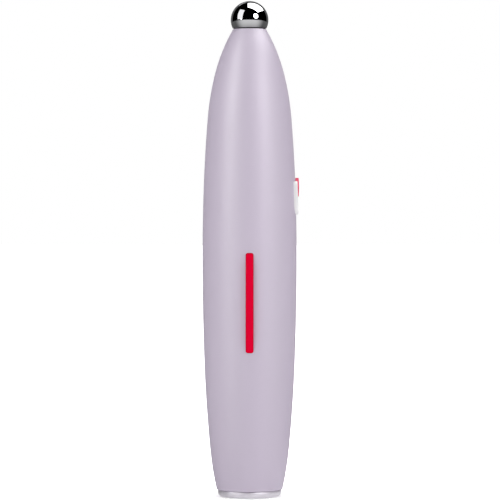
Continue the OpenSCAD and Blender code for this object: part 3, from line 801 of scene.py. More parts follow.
@dataclass(frozen=True)
class Finish:
    """The surface of one kind of piece.

    Attributes:
        name: Name of the material.
        colour: Colour as a screen shows it, from 0 to 255.
        roughness: Lowest and highest roughness over the surface.
        metallic: 1 for metal.
        specular: Specular level.
        tone: Swing in lightness, as a share.
        tone_size: Size of the tone's patches, in millimetres.
        gloss_size: Size of the gloss's patches, as a share of the tone's.
        grain: Depth of the grain or of the turned lines, in millimetres.
        grain_size: Size of one grain or line, in millimetres.
        texture: The effect that gives the bump its height.
    """

    name: str
    colour: Colour
    roughness: Point = (0.4, 0.5)
    metallic: float = 0.0
    specular: float = 0.5
    tone: float = 0.04
    tone_size: float = 12.0
    gloss_size: float = 0.6
    grain: float = 0.004
    grain_size: float = 0.2
    texture: Effect = Effect.GRAIN

    def _linear(self) -> tuple[float, float, float, float]:
        """Gives the colour in linear light, by the usual curve of a screen, with full alpha."""
        shares = [part / 255 for part in self.colour]
        return (*(s / 12.92 if s <= 0.04045 else ((s + 0.055) / 1.055) ** 2.4 for s in shares), 1.0)

    def material(self, shelf: EffectShelf) -> bpy.types.Material:
        """Gives the finish as a material, made on first use.

        Args:
            shelf: Where the shared effects are kept.

        Returns:
            The material.
        """
        made = bpy.data.materials.get(self.name)
        if made:
            return made
        made = bpy.data.materials.new(self.name)
        wiring = Wiring.of(made)
        place = wiring.add("ShaderNodeTexCoord").outputs["Object"]

        def effect(kind: Effect, size: float, **settings: object) -> Socket:
            """Places a shared effect.

            Args:
                kind: The effect.
                size: Size of its patches, in millimetres.
                **settings: Its other inputs, by name.

            Returns:
                What the effect puts out.
            """
            node = wiring.add("ShaderNodeGroup", node_tree=shelf.get(kind), vector=place)
            for name, value in {"Size": size * MM, **settings}.items():
                wiring.feed(value, node.inputs[name])
            return node.outputs[0]

        low, high = self.roughness
        colour = effect(Effect.TONE, self.tone_size, Color=self._linear(), Amount=self.tone)
        gloss = effect(Effect.HANDLING, self.tone_size * self.gloss_size, Low=low, High=high)
        relief = effect(self.texture, self.grain_size)
        bump = wiring.add("ShaderNodeBump", strength=1.0, distance=self.grain * MM, height=relief)
        shader = wiring.add(
            "ShaderNodeBsdfPrincipled",
            metallic=self.metallic,
            base_color=colour,
            roughness=gloss,
            normal=bump.outputs["Normal"],
        )
        wiring.feed(self.specular, shader.inputs["Specular IOR Level"])
        wiring.add("ShaderNodeOutputMaterial", surface=shader.outputs["BSDF"])
        return made


class Finishes:
    """Every finish on the pen, by the piece's own surface."""

    LILAC = Finish(
        "lilac_satin_paint", (194, 183, 201), (0.43, 0.49), specular=1.0, tone=0.02, tone_size=30
    )
    CAP = Finish(
        "satin_lilac_metal",
        (248, 243, 252),
        (0.34, 0.42),
        metallic=0.66,
        tone=0.03,
        grain=0.002,
        grain_size=0.12,
        texture=Effect.TURNED,
    )
    CHROME = Finish(
        "polished_chrome", (224, 224, 226), (0.012, 0.03), 1.0, tone=0.01, grain=0.0001
    )
    RED = Finish(
        "red_push_button", (220, 0, 46), (0.4, 0.48), specular=0.02, tone=0.03, grain=0.003
    )
    BADGE = Finish("white_badge_gloss", (247, 247, 247), (0.16, 0.24), tone=0.01, grain=0.001)
    CORAL = Finish(
        "coral_dot_gloss", (230, 40, 90), (0.3, 0.38), specular=0.2, tone=0.03, grain=0.001
    )
    RUBBER = Finish("black_gasket_rubber", (34, 32, 35), (0.6, 0.75), grain=0.006)
    SILICONE = Finish("grey_silicone", (214, 214, 210), (0.5, 0.6))
    FOAM = Finish("dark_cell_foam", (40, 40, 43), (0.85, 0.95), grain=0.05, grain_size=0.4)
    BLACK = Finish("black_moulding", (28, 28, 30), (0.45, 0.55))
    NYLON = Finish("natural_nylon", (236, 232, 220), (0.4, 0.5))
    CHASSIS = Finish("grey_chassis_moulding", (92, 94, 99), (0.5, 0.6), grain=0.006)
    STEEL = Finish("plated_steel", (196, 197, 200), (0.24, 0.32), 1.0, grain=0.001)
    BRASS = Finish("tinned_brass", (208, 176, 104), (0.26, 0.34), 1.0, grain=0.001)
    WIRE = Finish("red_wire_insulation", (182, 28, 28), (0.4, 0.5))
    BOARD = Finish("green_solder_mask", (16, 92, 54), (0.3, 0.4), tone=0.1, tone_size=3)
    RESIN = Finish("black_chip_resin", (30, 30, 32), (0.55, 0.65), grain=0.004, grain_size=0.08)
    COPPER = Finish("enamelled_copper", (176, 96, 54), (0.3, 0.4), 1.0)
    CERAMIC = Finish("tan_capacitor_ceramic", (190, 158, 115), (0.4, 0.5))
    CELL = Finish("blue_cell_wrap", (66, 112, 170), (0.3, 0.4))


@dataclass
class Shells:
    """The two half shells of the body, with the slot for the button and the badge's seat."""

    outline: Outline
    wall: float = 1.6
    low: float = 1.9
    collar_top: float = 7.0
    nose_low: float = 119.0
    neck: float = 124.0
    bush_radius: float = 2.95
    spigot_radius: float = 7.05
    rib_radius: float = 6.56
    rib: Point = (3.08, 4.08)
    steps: int = 96
    outer_step: float = 2.0
    inner_step: float = 4.0
    parting_round: float = 0.06
    parting_depth: float = 0.05
    pin_heights: tuple[float, ...] = (9.2, 70.0, 106.0)
    pin_inset: float = 1.0
    pin_boss: float = 1.4
    pin_radius: float = 0.7
    pin_depth: float = 2.4
    pin_fit: float = 0.05
    screw_heights: Point = (16.0, 96.0)
    screw_boss: float = 2.2
    screw_hole: float = 1.0
    screw_depth: float = 3.6
    screw_seat: float = 1.92
    land_width: float = 6.6
    land: Point = (36.45, 66.95)
    land_depth: float = 10.041
    land_thickness: float = 1.26

    def section(self) -> list[Point]:
        """Works out the wall's section.

        Returns:
            Its corners, from the outer lower edge round to the inner one.
        """
        outer = self.outline.points(self.low, self.neck, 0.0, self.outer_step)
        inner = self.outline.points(self.collar_top, self.nose_low, -self.wall, self.inner_step)
        return [
            *outer,
            (self.bush_radius, self.neck),
            (self.bush_radius, self.nose_low),
            *reversed(inner),
            (self.spigot_radius, self.collar_top),
            (self.spigot_radius, self.rib[1]),
            (self.rib_radius, self.rib[1]),
            (self.rib_radius, self.rib[0]),
            (self.spigot_radius, self.rib[0]),
            (self.spigot_radius, self.low),
        ]

    def half(self, name: str, front: bool) -> Piece:
        """Models one half shell.

        Args:
            name: Name of the piece.
            front: True for the half that faces -Y.

        Returns:
            The closed shell, in object mode.
        """
        points = self.section()
        piece = Bench.section(name, points)
        Bench.close_section(points)
        bpy.ops.mesh.select_all(action="SELECT")
        bpy.ops.mesh.edge_face_add()
        turn = math.pi if front else -math.pi
        bpy.ops.mesh.spin(steps=self.steps, angle=turn, center=(0, 0, 0), axis=(0, 0, 1))
        Bench.mend()
        Bench.pick(Part.EDGES, self._on_parting_edge)
        Bench.bevel(self.parting_round, 2)
        Bench.tidy()
        return piece

    def _on_parting_edge(self, at: Vector, _: Vector) -> bool:
        """Tells whether an edge is an outer one along which the two halves meet.

        Args:
            at: Middle of the edge.
            _: Its direction, which doesn't matter.

        Returns:
            True for such an edge.
        """
        between = self.low + NEAR < at.z < self.neck - NEAR
        skin = self.outline.radius_at(at.z) - self.parting_depth
        return between and abs(at.y) < CLOSE and abs(at.x) > skin

    def _pin_rods(self, name: str, start: float, radius: float, reach: float) -> Piece:
        """Models a rod along Y at the place of every alignment pin.

        Args:
            name: Name of the piece.
            start: Y at which the rods start.
            radius: Radius of the rods.
            reach: Length, negative towards -Y.

        Returns:
            The rods as one piece.
        """
        rods = []
        way = Vector((0, math.copysign(1, reach), 0))
        for height in self.pin_heights:
            out = self.outline.radius_at(height, -self.wall) - self.pin_inset
            for side in (-1, 1):
                place = Vector((side * out, start, height))
                rods.append(Bench.rod(name, place, way, radius, abs(reach)))
        return Bench.gather(rods)

    def _screw_rods(self, name: str, radius: float, start: float, end: float) -> Piece:
        """Models a rod along +Y at each of the chassis' two screws.

        Args:
            name: Name of the piece.
            radius: Radius of the rods.
            start: Y at which they start.
            end: Y at which they end.

        Returns:
            The rods as one piece.
        """
        way = Vector((0, 1, 0))
        places = [Vector((0, start, height)) for height in self.screw_heights]
        return Bench.gather([Bench.rod(name, at, way, radius, end - start) for at in places])

    def _button_land(self) -> Piece:
        """Models the flat land inside the wall that the button's flange rests on.

        Returns:
            The land, in object mode.
        """
        low, high = self.land
        middle = (0, -self.land_depth - self.land_thickness / 2, (low + high) / 2)
        size = (self.land_width, self.land_thickness, high - low)
        land = Bench.block("button_land", middle, size)
        Bench.tidy()
        return land

    def build(self, badge: Badge, button: SideButton) -> list[Piece]:
        """Models both halves with their pins and bosses, and cuts them for what they carry.

        Args:
            badge: The badge, whose seat crosses both halves.
            button: The push button, whose slot is in the front half.

        Returns:
            The front half and the back half.
        """
        front = self.half("front_half_shell", True)
        back = self.half("back_half_shell", False)
        hold = self.pin_depth + OVERLAP
        Bench.combine(front, self._pin_rods("pin_sockets", 0.0, self.pin_boss, -hold), Cut.ON)
        Bench.combine(front, self._button_land(), Cut.ON)
        hole = self.pin_radius + self.pin_fit
        holes = self._pin_rods("pin_holes", OVERLAP, hole, -hold - self.pin_fit)
        Bench.combine(front, Bench.gather([holes, button.slot_cutter()]), Cut.OFF)
        Bench.combine(back, self._pin_rods("pin_bosses", 0.0, self.pin_boss, hold), Cut.ON)
        seat, deep = self.screw_seat, self.screw_seat + self.screw_depth
        reach = self.outline.radius_at(self.screw_heights[0], -self.wall / 2)
        bosses = self._screw_rods("screw_bosses", self.screw_boss, seat, reach)
        pins = self._pin_rods("pins", OVERLAP, self.pin_radius, -hold)
        Bench.combine(back, Bench.gather([bosses, pins]), Cut.ON)
        screws = self._screw_rods("screw_holes", self.screw_hole, seat - OVERLAP, deep)
        Bench.combine(back, screws, Cut.OFF)
        for piece in (front, back):
            Bench.combine(piece, badge.seat_cutter(), Cut.OFF)
            Bench.smooth(piece)
        return [front, back]


@dataclass
class SideButton:
    """The raised red bar that the thumb presses, with the flange that keeps it in its slot."""

    outline: Outline
    width: float = 1.97
    length: float = 26.1
    middle: float = 51.7
    proud: float = 1.1
    end_proud: float = 0.3
    ramp: float = 3.2
    corner: float = 0.5
    corner_facets: int = 6
    slot_gap: float = 0.06
    slot_reach: Point = (-14.0, -6.0)
    blank_front: float = -15.0
    slices: int = 40
    flange_width: float = 4.6
    flange_reach: float = 1.2
    flange_depth: float = 0.8
    post_radius: float = 2.0
    post_length: float = 0.8
    post_root: float = 0.05
    edge_round: float = 0.35
    edge_facets: int = 5
    rim_depth: float = 0.02

    def slot_cutter(self) -> Piece:
        """Models the slot's shape, which is taken out of the front shell."""
        return self._block("slot_cutter", self.slot_gap, *self.slot_reach)

    def _block(self, name: str, grow: float, front: float, back: float) -> Piece:
        """Models an upright block with the bar's outline and round corners.

        Args:
            name: Name of the piece.
            grow: How far the outline is moved out.
            front: Lowest Y.
            back: Highest Y.

        Returns:
            The block, in object mode.
        """
        size = (self.width + 2 * grow, back - front, self.length + 2 * grow)
        piece = Bench.block(name, (0, (front + back) / 2, self.middle), size)
        Bench.pick(Part.EDGES, lambda _, way: abs(way.y) > ALONG)
        Bench.bevel(self.corner + grow, self.corner_facets)
        Bench.tidy()
        return piece

    def _face_depth(self, height: float) -> float:
        """Measures from the axis to the bar's face.

        Args:
            height: Height to measure at.

        Returns:
            The distance from the axis.
        """
        low, high = self.middle - self.length / 2, self.middle + self.length / 2
        inset = min(height - low, high - height)
        share = max(0.0, min(1.0, inset / self.ramp))
        rise = self.end_proud + (self.proud - self.end_proud) * share
        return self.outline.radius_at(height) + rise

    def build(self) -> Piece:
        """Models the bar, its flange and its post as one piece.

        Returns:
            The finished button.
        """
        land = -self._flange_front()
        piece = self._block("red_push_bar", 0.0, self.blank_front, land)
        bpy.ops.object.mode_set(mode="EDIT")
        for i in range(1, self.slices):
            Bench.slice_at(self.middle - self.length / 2 + self.length * i / self.slices)
        for height in self._front_heights():
            Bench.pick(
                Part.VERTS,
                lambda at, _, h=height: abs(at.z - h) < ON_PLANE and self._on_blank(at.y),
            )
            shift = (-self.blank_front - self._face_depth(height)) * MM
            bpy.ops.transform.translate(value=(0, shift, 0))
        Bench.round_rim(self._on_face, self.edge_round, self.edge_facets)
        self._add_flange(land)
        Bench.tidy()
        root = Vector((0, land + self.flange_depth - self.post_root, self.middle))
        length = self.post_length + self.post_root
        post = Bench.rod("post", root, Vector((0, 1, 0)), self.post_radius, length)
        Bench.combine(piece, post, Cut.ON)
        Bench.smooth(piece, angle=40.0)
        return piece

    def _flange_front(self) -> float:
        """Gives the distance from the axis to the flange's front face."""
        return -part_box("side_button")[1].y / MM + self.flange_depth + self.post_length

    def _on_blank(self, depth: float) -> bool:
        """Tells whether a corner still lies on the blank's flat front."""
        return depth < self.blank_front + NEAR

    def _on_face(self, at: Vector, way: Vector) -> bool:
        """Tells whether a face belongs to the bar's finished front."""
        return way.y < -ROUGHLY_ALONG and at.y < self.rim_depth - self._face_depth(at.z)

    def _front_heights(self) -> list[float]:
        """Lists the heights at which the front face has corners."""
        mesh = bmesh.from_edit_mesh(bpy.context.object.data)
        return sorted({round(v.co.z / MM, 5) for v in mesh.verts if self._on_blank(v.co.y / MM)})

    def _add_flange(self, land: float) -> None:
        """Adds the flange behind the wall by extruding the bar's back face.

        Args:
            land: Y of the flange's front face.
        """
        Bench.pick(Part.FACES, lambda at, way: way.y > ALONG and at.y > land - NEAR)
        Bench.extrude((0, 0, 0))
        wide = self.flange_width / self.width
        tall = (self.length + 2 * self.flange_reach) / self.length
        middle = (0, land * MM, self.middle * MM)
        bpy.ops.transform.resize(value=(wide, 1, tall), center_override=middle)
        Bench.extrude((0, self.flange_depth * MM, 0))


@dataclass
class Badge:
    """The small white badge on the side, with a raised round dot."""

    outline: Outline
    middle: float = 79.3
    tall: float = 8.8
    wide: float = 7.0
    high_corner: float = 0.8
    low_corner: float = 2.2
    corner_facets: tuple[int, int] = (8, 12)
    proud: float = 0.55
    seat: float = 0.65
    gap: float = 0.06
    edge: float = 0.22
    edge_facets: int = 4
    cutter_reach: float = 4.0
    dot: float = 5.0
    dot_proud: float = 0.3
    dot_rise: float = 0.9
    dot_edge: float = 0.24
    dot_edge_facets: int = 5
    dot_crown: float = 0.06
    dot_rings: tuple[float, ...] = (0.4, 0.3, 0.2, 0.1)
    dot_ring_width: float = 0.5
    dot_sides: int = 72
    dot_back: float = 0.05
    dot_cutter_reach: float = 20.0
    peg: float = 0.7
    peg_fit: float = 0.05
    peg_rise: float = 2.0
    peg_reach: float = 0.85
    peg_root: float = 0.35
    peg_hole: float = 3.2
    dot_peg_inner: float = 10.678
    dot_peg_root: float = 0.3
    dot_hole_inner: float = 8.5

    def _place(self) -> Matrix:
        """Works out where the plate sits.

        Returns:
            The plate's own frame: x out of the body, z up along its side.
        """
        lean = self.outline.lean_at(self.middle)
        turn = Matrix.Rotation(-lean, 4, "Y")
        reach = self.outline.radius_at(self.middle)
        return Matrix.Translation(Vector((reach, 0, self.middle)) * MM) @ turn

    def _slab(self, name: str, grow: float, low: float, high: float) -> Piece:
        """Models a slab with the badge's outline.

        Args:
            name: Name of the piece.
            grow: How far the outline is moved out.
            low: Distance of the back face from the body's surface, positive outwards.
            high: Distance of the front face.

        Returns:
            The slab in the badge's own frame, with edit mode open.
        """
        Bench.clear()
        bpy.ops.mesh.primitive_plane_add(size=MM, rotation=(0, math.pi / 2, 0))
        piece = Bench.take(name)
        bpy.ops.transform.resize(value=(1, self.wide + 2 * grow, self.tall + 2 * grow))
        for side, corner, facets in zip(
            (1, -1), (self.high_corner, self.low_corner), self.corner_facets
        ):
            far = self.tall / 2 - NEAR
            Bench.pick(Part.VERTS, lambda at, _, s=side, f=far: at.z * s > f)
            Bench.bevel(corner + grow, facets, corners=True)
        bpy.ops.mesh.select_all(action="SELECT")
        bpy.ops.transform.translate(value=(low * MM, 0, 0))
        Bench.extrude(((high - low) * MM, 0, 0))
        bpy.ops.mesh.select_all(action="SELECT")
        bpy.ops.mesh.normals_make_consistent(inside=False)
        return piece

    def _settle(self, piece: Piece) -> None:
        """Moves a piece from the badge's frame to its place on the pen.

        Args:
            piece: The piece.
        """
        Bench.clear()
        piece.data.transform(self._place())
        piece.data.update()

    def seat_cutter(self) -> Piece:
        """Models the badge's seat and peg holes, which are taken out of the shells.

        Returns:
            Their shape, as one piece.
        """
        piece = self._slab("seat_cutter", self.gap, -self.seat, self.cutter_reach)
        Bench.tidy()
        hole = self.peg + self.peg_fit
        Bench.combine(piece, self._peg(hole, self.peg_hole), Cut.ON)
        self._settle(piece)
        Bench.combine(piece, self._dot_peg(hole, self.dot_hole_inner), Cut.ON)
        return piece

    def _peg(self, radius: float, reach: float) -> Piece:
        """Models the plate's peg, which reaches in from the body's surface, in its own frame."""
        start = Vector((-self.peg_root, 0, self.peg_rise - self.tall / 2))
        return Bench.rod("plate_peg", start, Vector((-1, 0, 0)), radius, reach - self.peg_root)

    def _dot_peg(self, radius: float, inner: float) -> Piece:
        """Models the dot's peg, whose tip is the inner distance from the axis."""
        start = Vector((self._dot_back() + self.dot_peg_root, 0, self._dot_middle()))
        return Bench.rod("dot_peg", start, Vector((-1, 0, 0)), radius, start.x - inner)

    def _dot_middle(self) -> float:
        """Gives the height of the dot's centre."""
        return self.middle + self.tall / 2 + self.dot_rise - self.dot / 2

    def _dot_back(self) -> float:
        """Gives the distance from the axis to the dot's back face."""
        return self.outline.radius_at(self.middle + self.tall / 2) + self.dot_back

    def _dot_face(self) -> float:
        """Gives the distance from the axis to the dot's face."""
        return self.outline.radius_at(self.middle) + self.proud + self.dot_proud

    def _disc(self, name: str, radius: float, low: float, high: float) -> Piece:
        """Models a disc whose axis lies along X at the dot's height.

        Args:
            name: Name of the piece.
            radius: Radius of the disc.
            low: Lowest X.
            high: Highest X.

        Returns:
            The disc, with edit mode open.
        """
        Bench.clear()
        bpy.ops.mesh.primitive_cylinder_add(
            vertices=self.dot_sides,
            radius=radius * MM,
            depth=(high - low) * MM,
            location=((low + high) / 2 * MM, 0, self._dot_middle() * MM),
            rotation=(0, math.pi / 2, 0),
        )
        return Bench.take(name)

    def plate(self) -> Piece:
        """Models the white plate, with the round seat for the dot.

        Returns:
            The finished plate.
        """
        piece = self._slab("white_badge_plate", 0.0, -self.seat, self.proud)
        Bench.round_rim(lambda _, way: way.x > ALONG, self.edge, self.edge_facets)
        Bench.tidy()
        Bench.combine(piece, self._peg(self.peg, self.seat + self.peg_reach), Cut.ON)
        self._settle(piece)
        hollow = self.dot / 2 + self.gap
        cutter = self._disc("dot_cutter", hollow, self._dot_back(), self.dot_cutter_reach)
        Bench.tidy()
        hole = self._dot_peg(self.peg + self.peg_fit, self.dot_hole_inner)
        Bench.combine(piece, hole, Cut.OFF)
        Bench.combine(piece, cutter, Cut.OFF)
        Bench.smooth(piece)
        return piece

    def raised_dot(self) -> Piece:
        """Models the coral dot, with a round edge and a slightly crowned face.

        Returns:
            The finished dot.
        """
        face = self._dot_face() - self.dot_crown
        piece = self._disc("coral_badge_dot", self.dot / 2, self._dot_back(), face)
        Bench.round_rim(lambda _, way: way.x > ALONG, self.dot_edge, self.dot_edge_facets)
        Bench.pick(Part.FACES, lambda _, way: way.x > SQUARE_ON)
        for share in self.dot_rings:
            bpy.ops.mesh.inset(thickness=self.dot_ring_width * MM, depth=0.0)
            bpy.ops.transform.translate(value=(self.dot_crown * share * MM, 0, 0))
        Bench.tidy()
        Bench.combine(piece, self._dot_peg(self.peg, self.dot_peg_inner), Cut.ON)
        Bench.smooth(piece, angle=40.0)
        return piece


@dataclass
class Probe:
    """The chromed ball at the tip and the gasket that it is screwed down on."""

    diameter: float = 10.0
    middle: float = 126.5
    seat: float = 124.3
    segments: int = 160
    rings: int = 120
    gasket_radius: float = 4.2
    gasket_bore: float = 1.55
    gasket_thickness: float = 0.3
    gasket_round: float = 0.05
    gasket_steps: int = 96
    rim_round: float = 0.05
    rim_facets: int = 2
    bore_depth: float = 4.0

    def ball(self) -> Piece:
        """Models the ball, cut flat where it sits on the gasket and bored for the stud.

        Returns:
            The finished ball.
        """
        Bench.clear()
        bpy.ops.mesh.primitive_uv_sphere_add(
            segments=self.segments,
            ring_count=self.rings,
            radius=self.diameter / 2 * MM,
            location=(0, 0, self.middle * MM),
        )
        piece = Bench.take("chromed_probe_ball")
        bpy.ops.mesh.bisect(
            plane_co=(0, 0, self.seat * MM),
            plane_no=(0, 0, 1),
            clear_inner=True,
            use_fill=True,
            threshold=ON_PLANE * MM,
        )
        Bench.round_rim(self._on_seat, self.rim_round, self.rim_facets)
        Bench.tidy()
        under, up = Vector((0, 0, self.seat - OVERLAP)), Vector((0, 0, 1))
        bore = Bench.rod("stud_bore", under, up, self.gasket_bore, self.bore_depth + OVERLAP)
        Bench.combine(piece, bore, Cut.OFF)
        Bench.smooth(piece, angle=30.0)
        return piece

    def _on_seat(self, at: Vector, way: Vector) -> bool:
        """Tells whether a face is the flat one that the ball sits on."""
        return way.z < -SQUARE_ON and at.z < self.seat + NEAR

    def gasket(self) -> Piece:
        """Models the thin black ring under the ball.

        Returns:
            The finished ring.
        """
        low, high = self.seat - self.gasket_thickness, self.seat
        bore, radius, swell = self.gasket_bore, self.gasket_radius, self.gasket_round
        points = [
            (bore, low),
            (radius - swell, low),
            (radius, low + swell),
            (radius, high - swell),
            (radius - swell, high),
            (bore, high),
        ]
        piece = Bench.lathe("probe_sealing_ring", points, self.gasket_steps)
        Bench.smooth(piece, angle=50.0)
        return piece


@dataclass
class EndCap:
    """The turned metal cap that the pen stands on, open for the charging port."""

    radius: float = 8.4
    height: float = 1.75
    edge_radius: float = 1.1
    edge_turn: int = 9
    base: float = 1.2
    spigot_radius: float = 7.0
    spigot_bore: float = 5.9
    spigot_top: float = 6.5
    snap_groove: tuple[float, float, float] = (6.5, 3.02, 4.14)
    seal_groove: tuple[float, float, float] = (6.43, 4.98, 5.66)
    rim_round: float = 0.12
    rim_cut: float = 0.3
    steps: int = 144
    port: Point = (10.64, 4.86)
    port_reach: float = 6.0
    port_round: float = 0.999
    port_facets: int = 16

    def section(self) -> list[Point]:
        """Works out the cap's section.

        Returns:
            Its corners, from the axis at the base round to the axis inside.
        """
        middle, edge, spigot = self.radius - self.edge_radius, self.edge_radius, self.spigot_radius
        turns = [math.radians(a) for a in range(0, 91, self.edge_turn)]
        rim = self.rim_round
        grooves = []
        for floor, low, high in (self.snap_groove, self.seal_groove):
            grooves += [(spigot, low), (floor, low), (floor, high), (spigot, high)]
        return [
            (0.0, 0.0),
            *((middle + edge * math.sin(a), edge * (1 - math.cos(a))) for a in turns),
            (self.radius, self.height - rim),
            (self.radius - rim * self.rim_cut, self.height - rim * self.rim_cut),
            (self.radius - rim, self.height),
            (spigot, self.height),
            *grooves,
            (spigot, self.spigot_top),
            (self.spigot_bore, self.spigot_top),
            (self.spigot_bore, self.base),
            (0.0, self.base),
        ]

    def build(self) -> Piece:
        """Models the cap and cuts the hole for the charging port.

        Returns:
            The finished cap.
        """
        piece = Bench.lathe("turned_end_cap", self.section(), self.steps)
        cutter = Bench.block("port_cutter", (0, 0, 0), (*self.port, self.port_reach))
        Bench.pick(Part.EDGES, lambda _, way: abs(way.z) > ALONG)
        Bench.bevel(self.port[1] / 2 * self.port_round, self.port_facets)
        Bench.tidy()
        Bench.combine(piece, cutter, Cut.OFF)
        Bench.smooth(piece, angle=35.0)
        return piece


class Light(Enum):
    """What a panel's light is for."""

    GLOSS = "highlights and reflections"
    FILL = "even light on the surfaces"


@dataclass(frozen=True)
class Panel:
    """A soft light panel of the studio, placed as it is seen from the ball.

    Attributes:
        name: Name of the panel.
        corners: Directions in which its corners stand.
        strength: Brightness of its face, where 1 is white.
        gives: What its light is for.
        distance: Distance of its corners from the ball, in metres.
    """

    name: str
    corners: tuple[Direction, ...]
    strength: float
    gives: Light = Light.GLOSS
    distance: float = 1.0

    RIM_CORNERS = 32

    @classmethod
    def disc(
        cls, name: str, middle: Direction, spread: float, strength: float, gives: Light
    ) -> Panel:
        """Describes a round panel.

        Args:
            name: Name of the panel.
            middle: Direction of its middle.
            spread: Half of the angle that it fills, in degrees.
            strength: Brightness of its face.
            gives: What its light is for.

        Returns:
            The panel.
        """
        out = Vector(middle).normalized()
        across = out.cross(Vector((0, 0, 1))).normalized()
        up = across.cross(out)
        reach = math.tan(math.radians(spread))
        turns = [math.tau * i / cls.RIM_CORNERS for i in range(cls.RIM_CORNERS)]
        rim = [out + (across * math.cos(t) + up * math.sin(t)) * reach for t in turns]
        return cls(name, tuple(tuple(corner.normalized()) for corner in rim), strength, gives)

    def hang(self, middle: Vector) -> None:
        """Puts the panel in the scene, where only its light is seen.

        Args:
            middle: Centre of the ball, in metres.
        """
        rays = [Vector(corner).normalized() * self.distance for corner in self.corners]
        panel = Bench.draw(self.name, [(middle + ray) / MM for ray in rays])
        bpy.ops.mesh.select_all(action="SELECT")
        bpy.ops.mesh.edge_face_add()
        bpy.ops.object.mode_set(mode="OBJECT")
        panel.data.materials.append(glow(self.name, self.strength))
        hide_from_camera(panel)
        panel.visible_diffuse = self.gives is Light.FILL
        panel.visible_glossy = self.gives is Light.GLOSS


def glow(name: str, strength: float) -> bpy.types.Material:
    """Makes a material that only glows.

    Args:
        name: Name of the material.
        strength: Its brightness, where 1 is white and 0 is black cloth.

    Returns:
        The material.
    """
    material = bpy.data.materials.new(name)
    wiring = Wiring.of(material)
    light = wiring.add("ShaderNodeEmission", color=WHITE, strength=strength)
    wiring.add("ShaderNodeOutputMaterial", surface=light.outputs["Emission"])
    return material


def hide_from_camera(piece: Piece) -> None:
    """Keeps a piece of the studio out of sight, and keeps it from casting a shadow.

    Args:
        piece: The piece.
    """
    piece.visible_camera = False
    piece.visible_shadow = False
    piece.visible_transmission = False
    piece.visible_volume_scatter = False


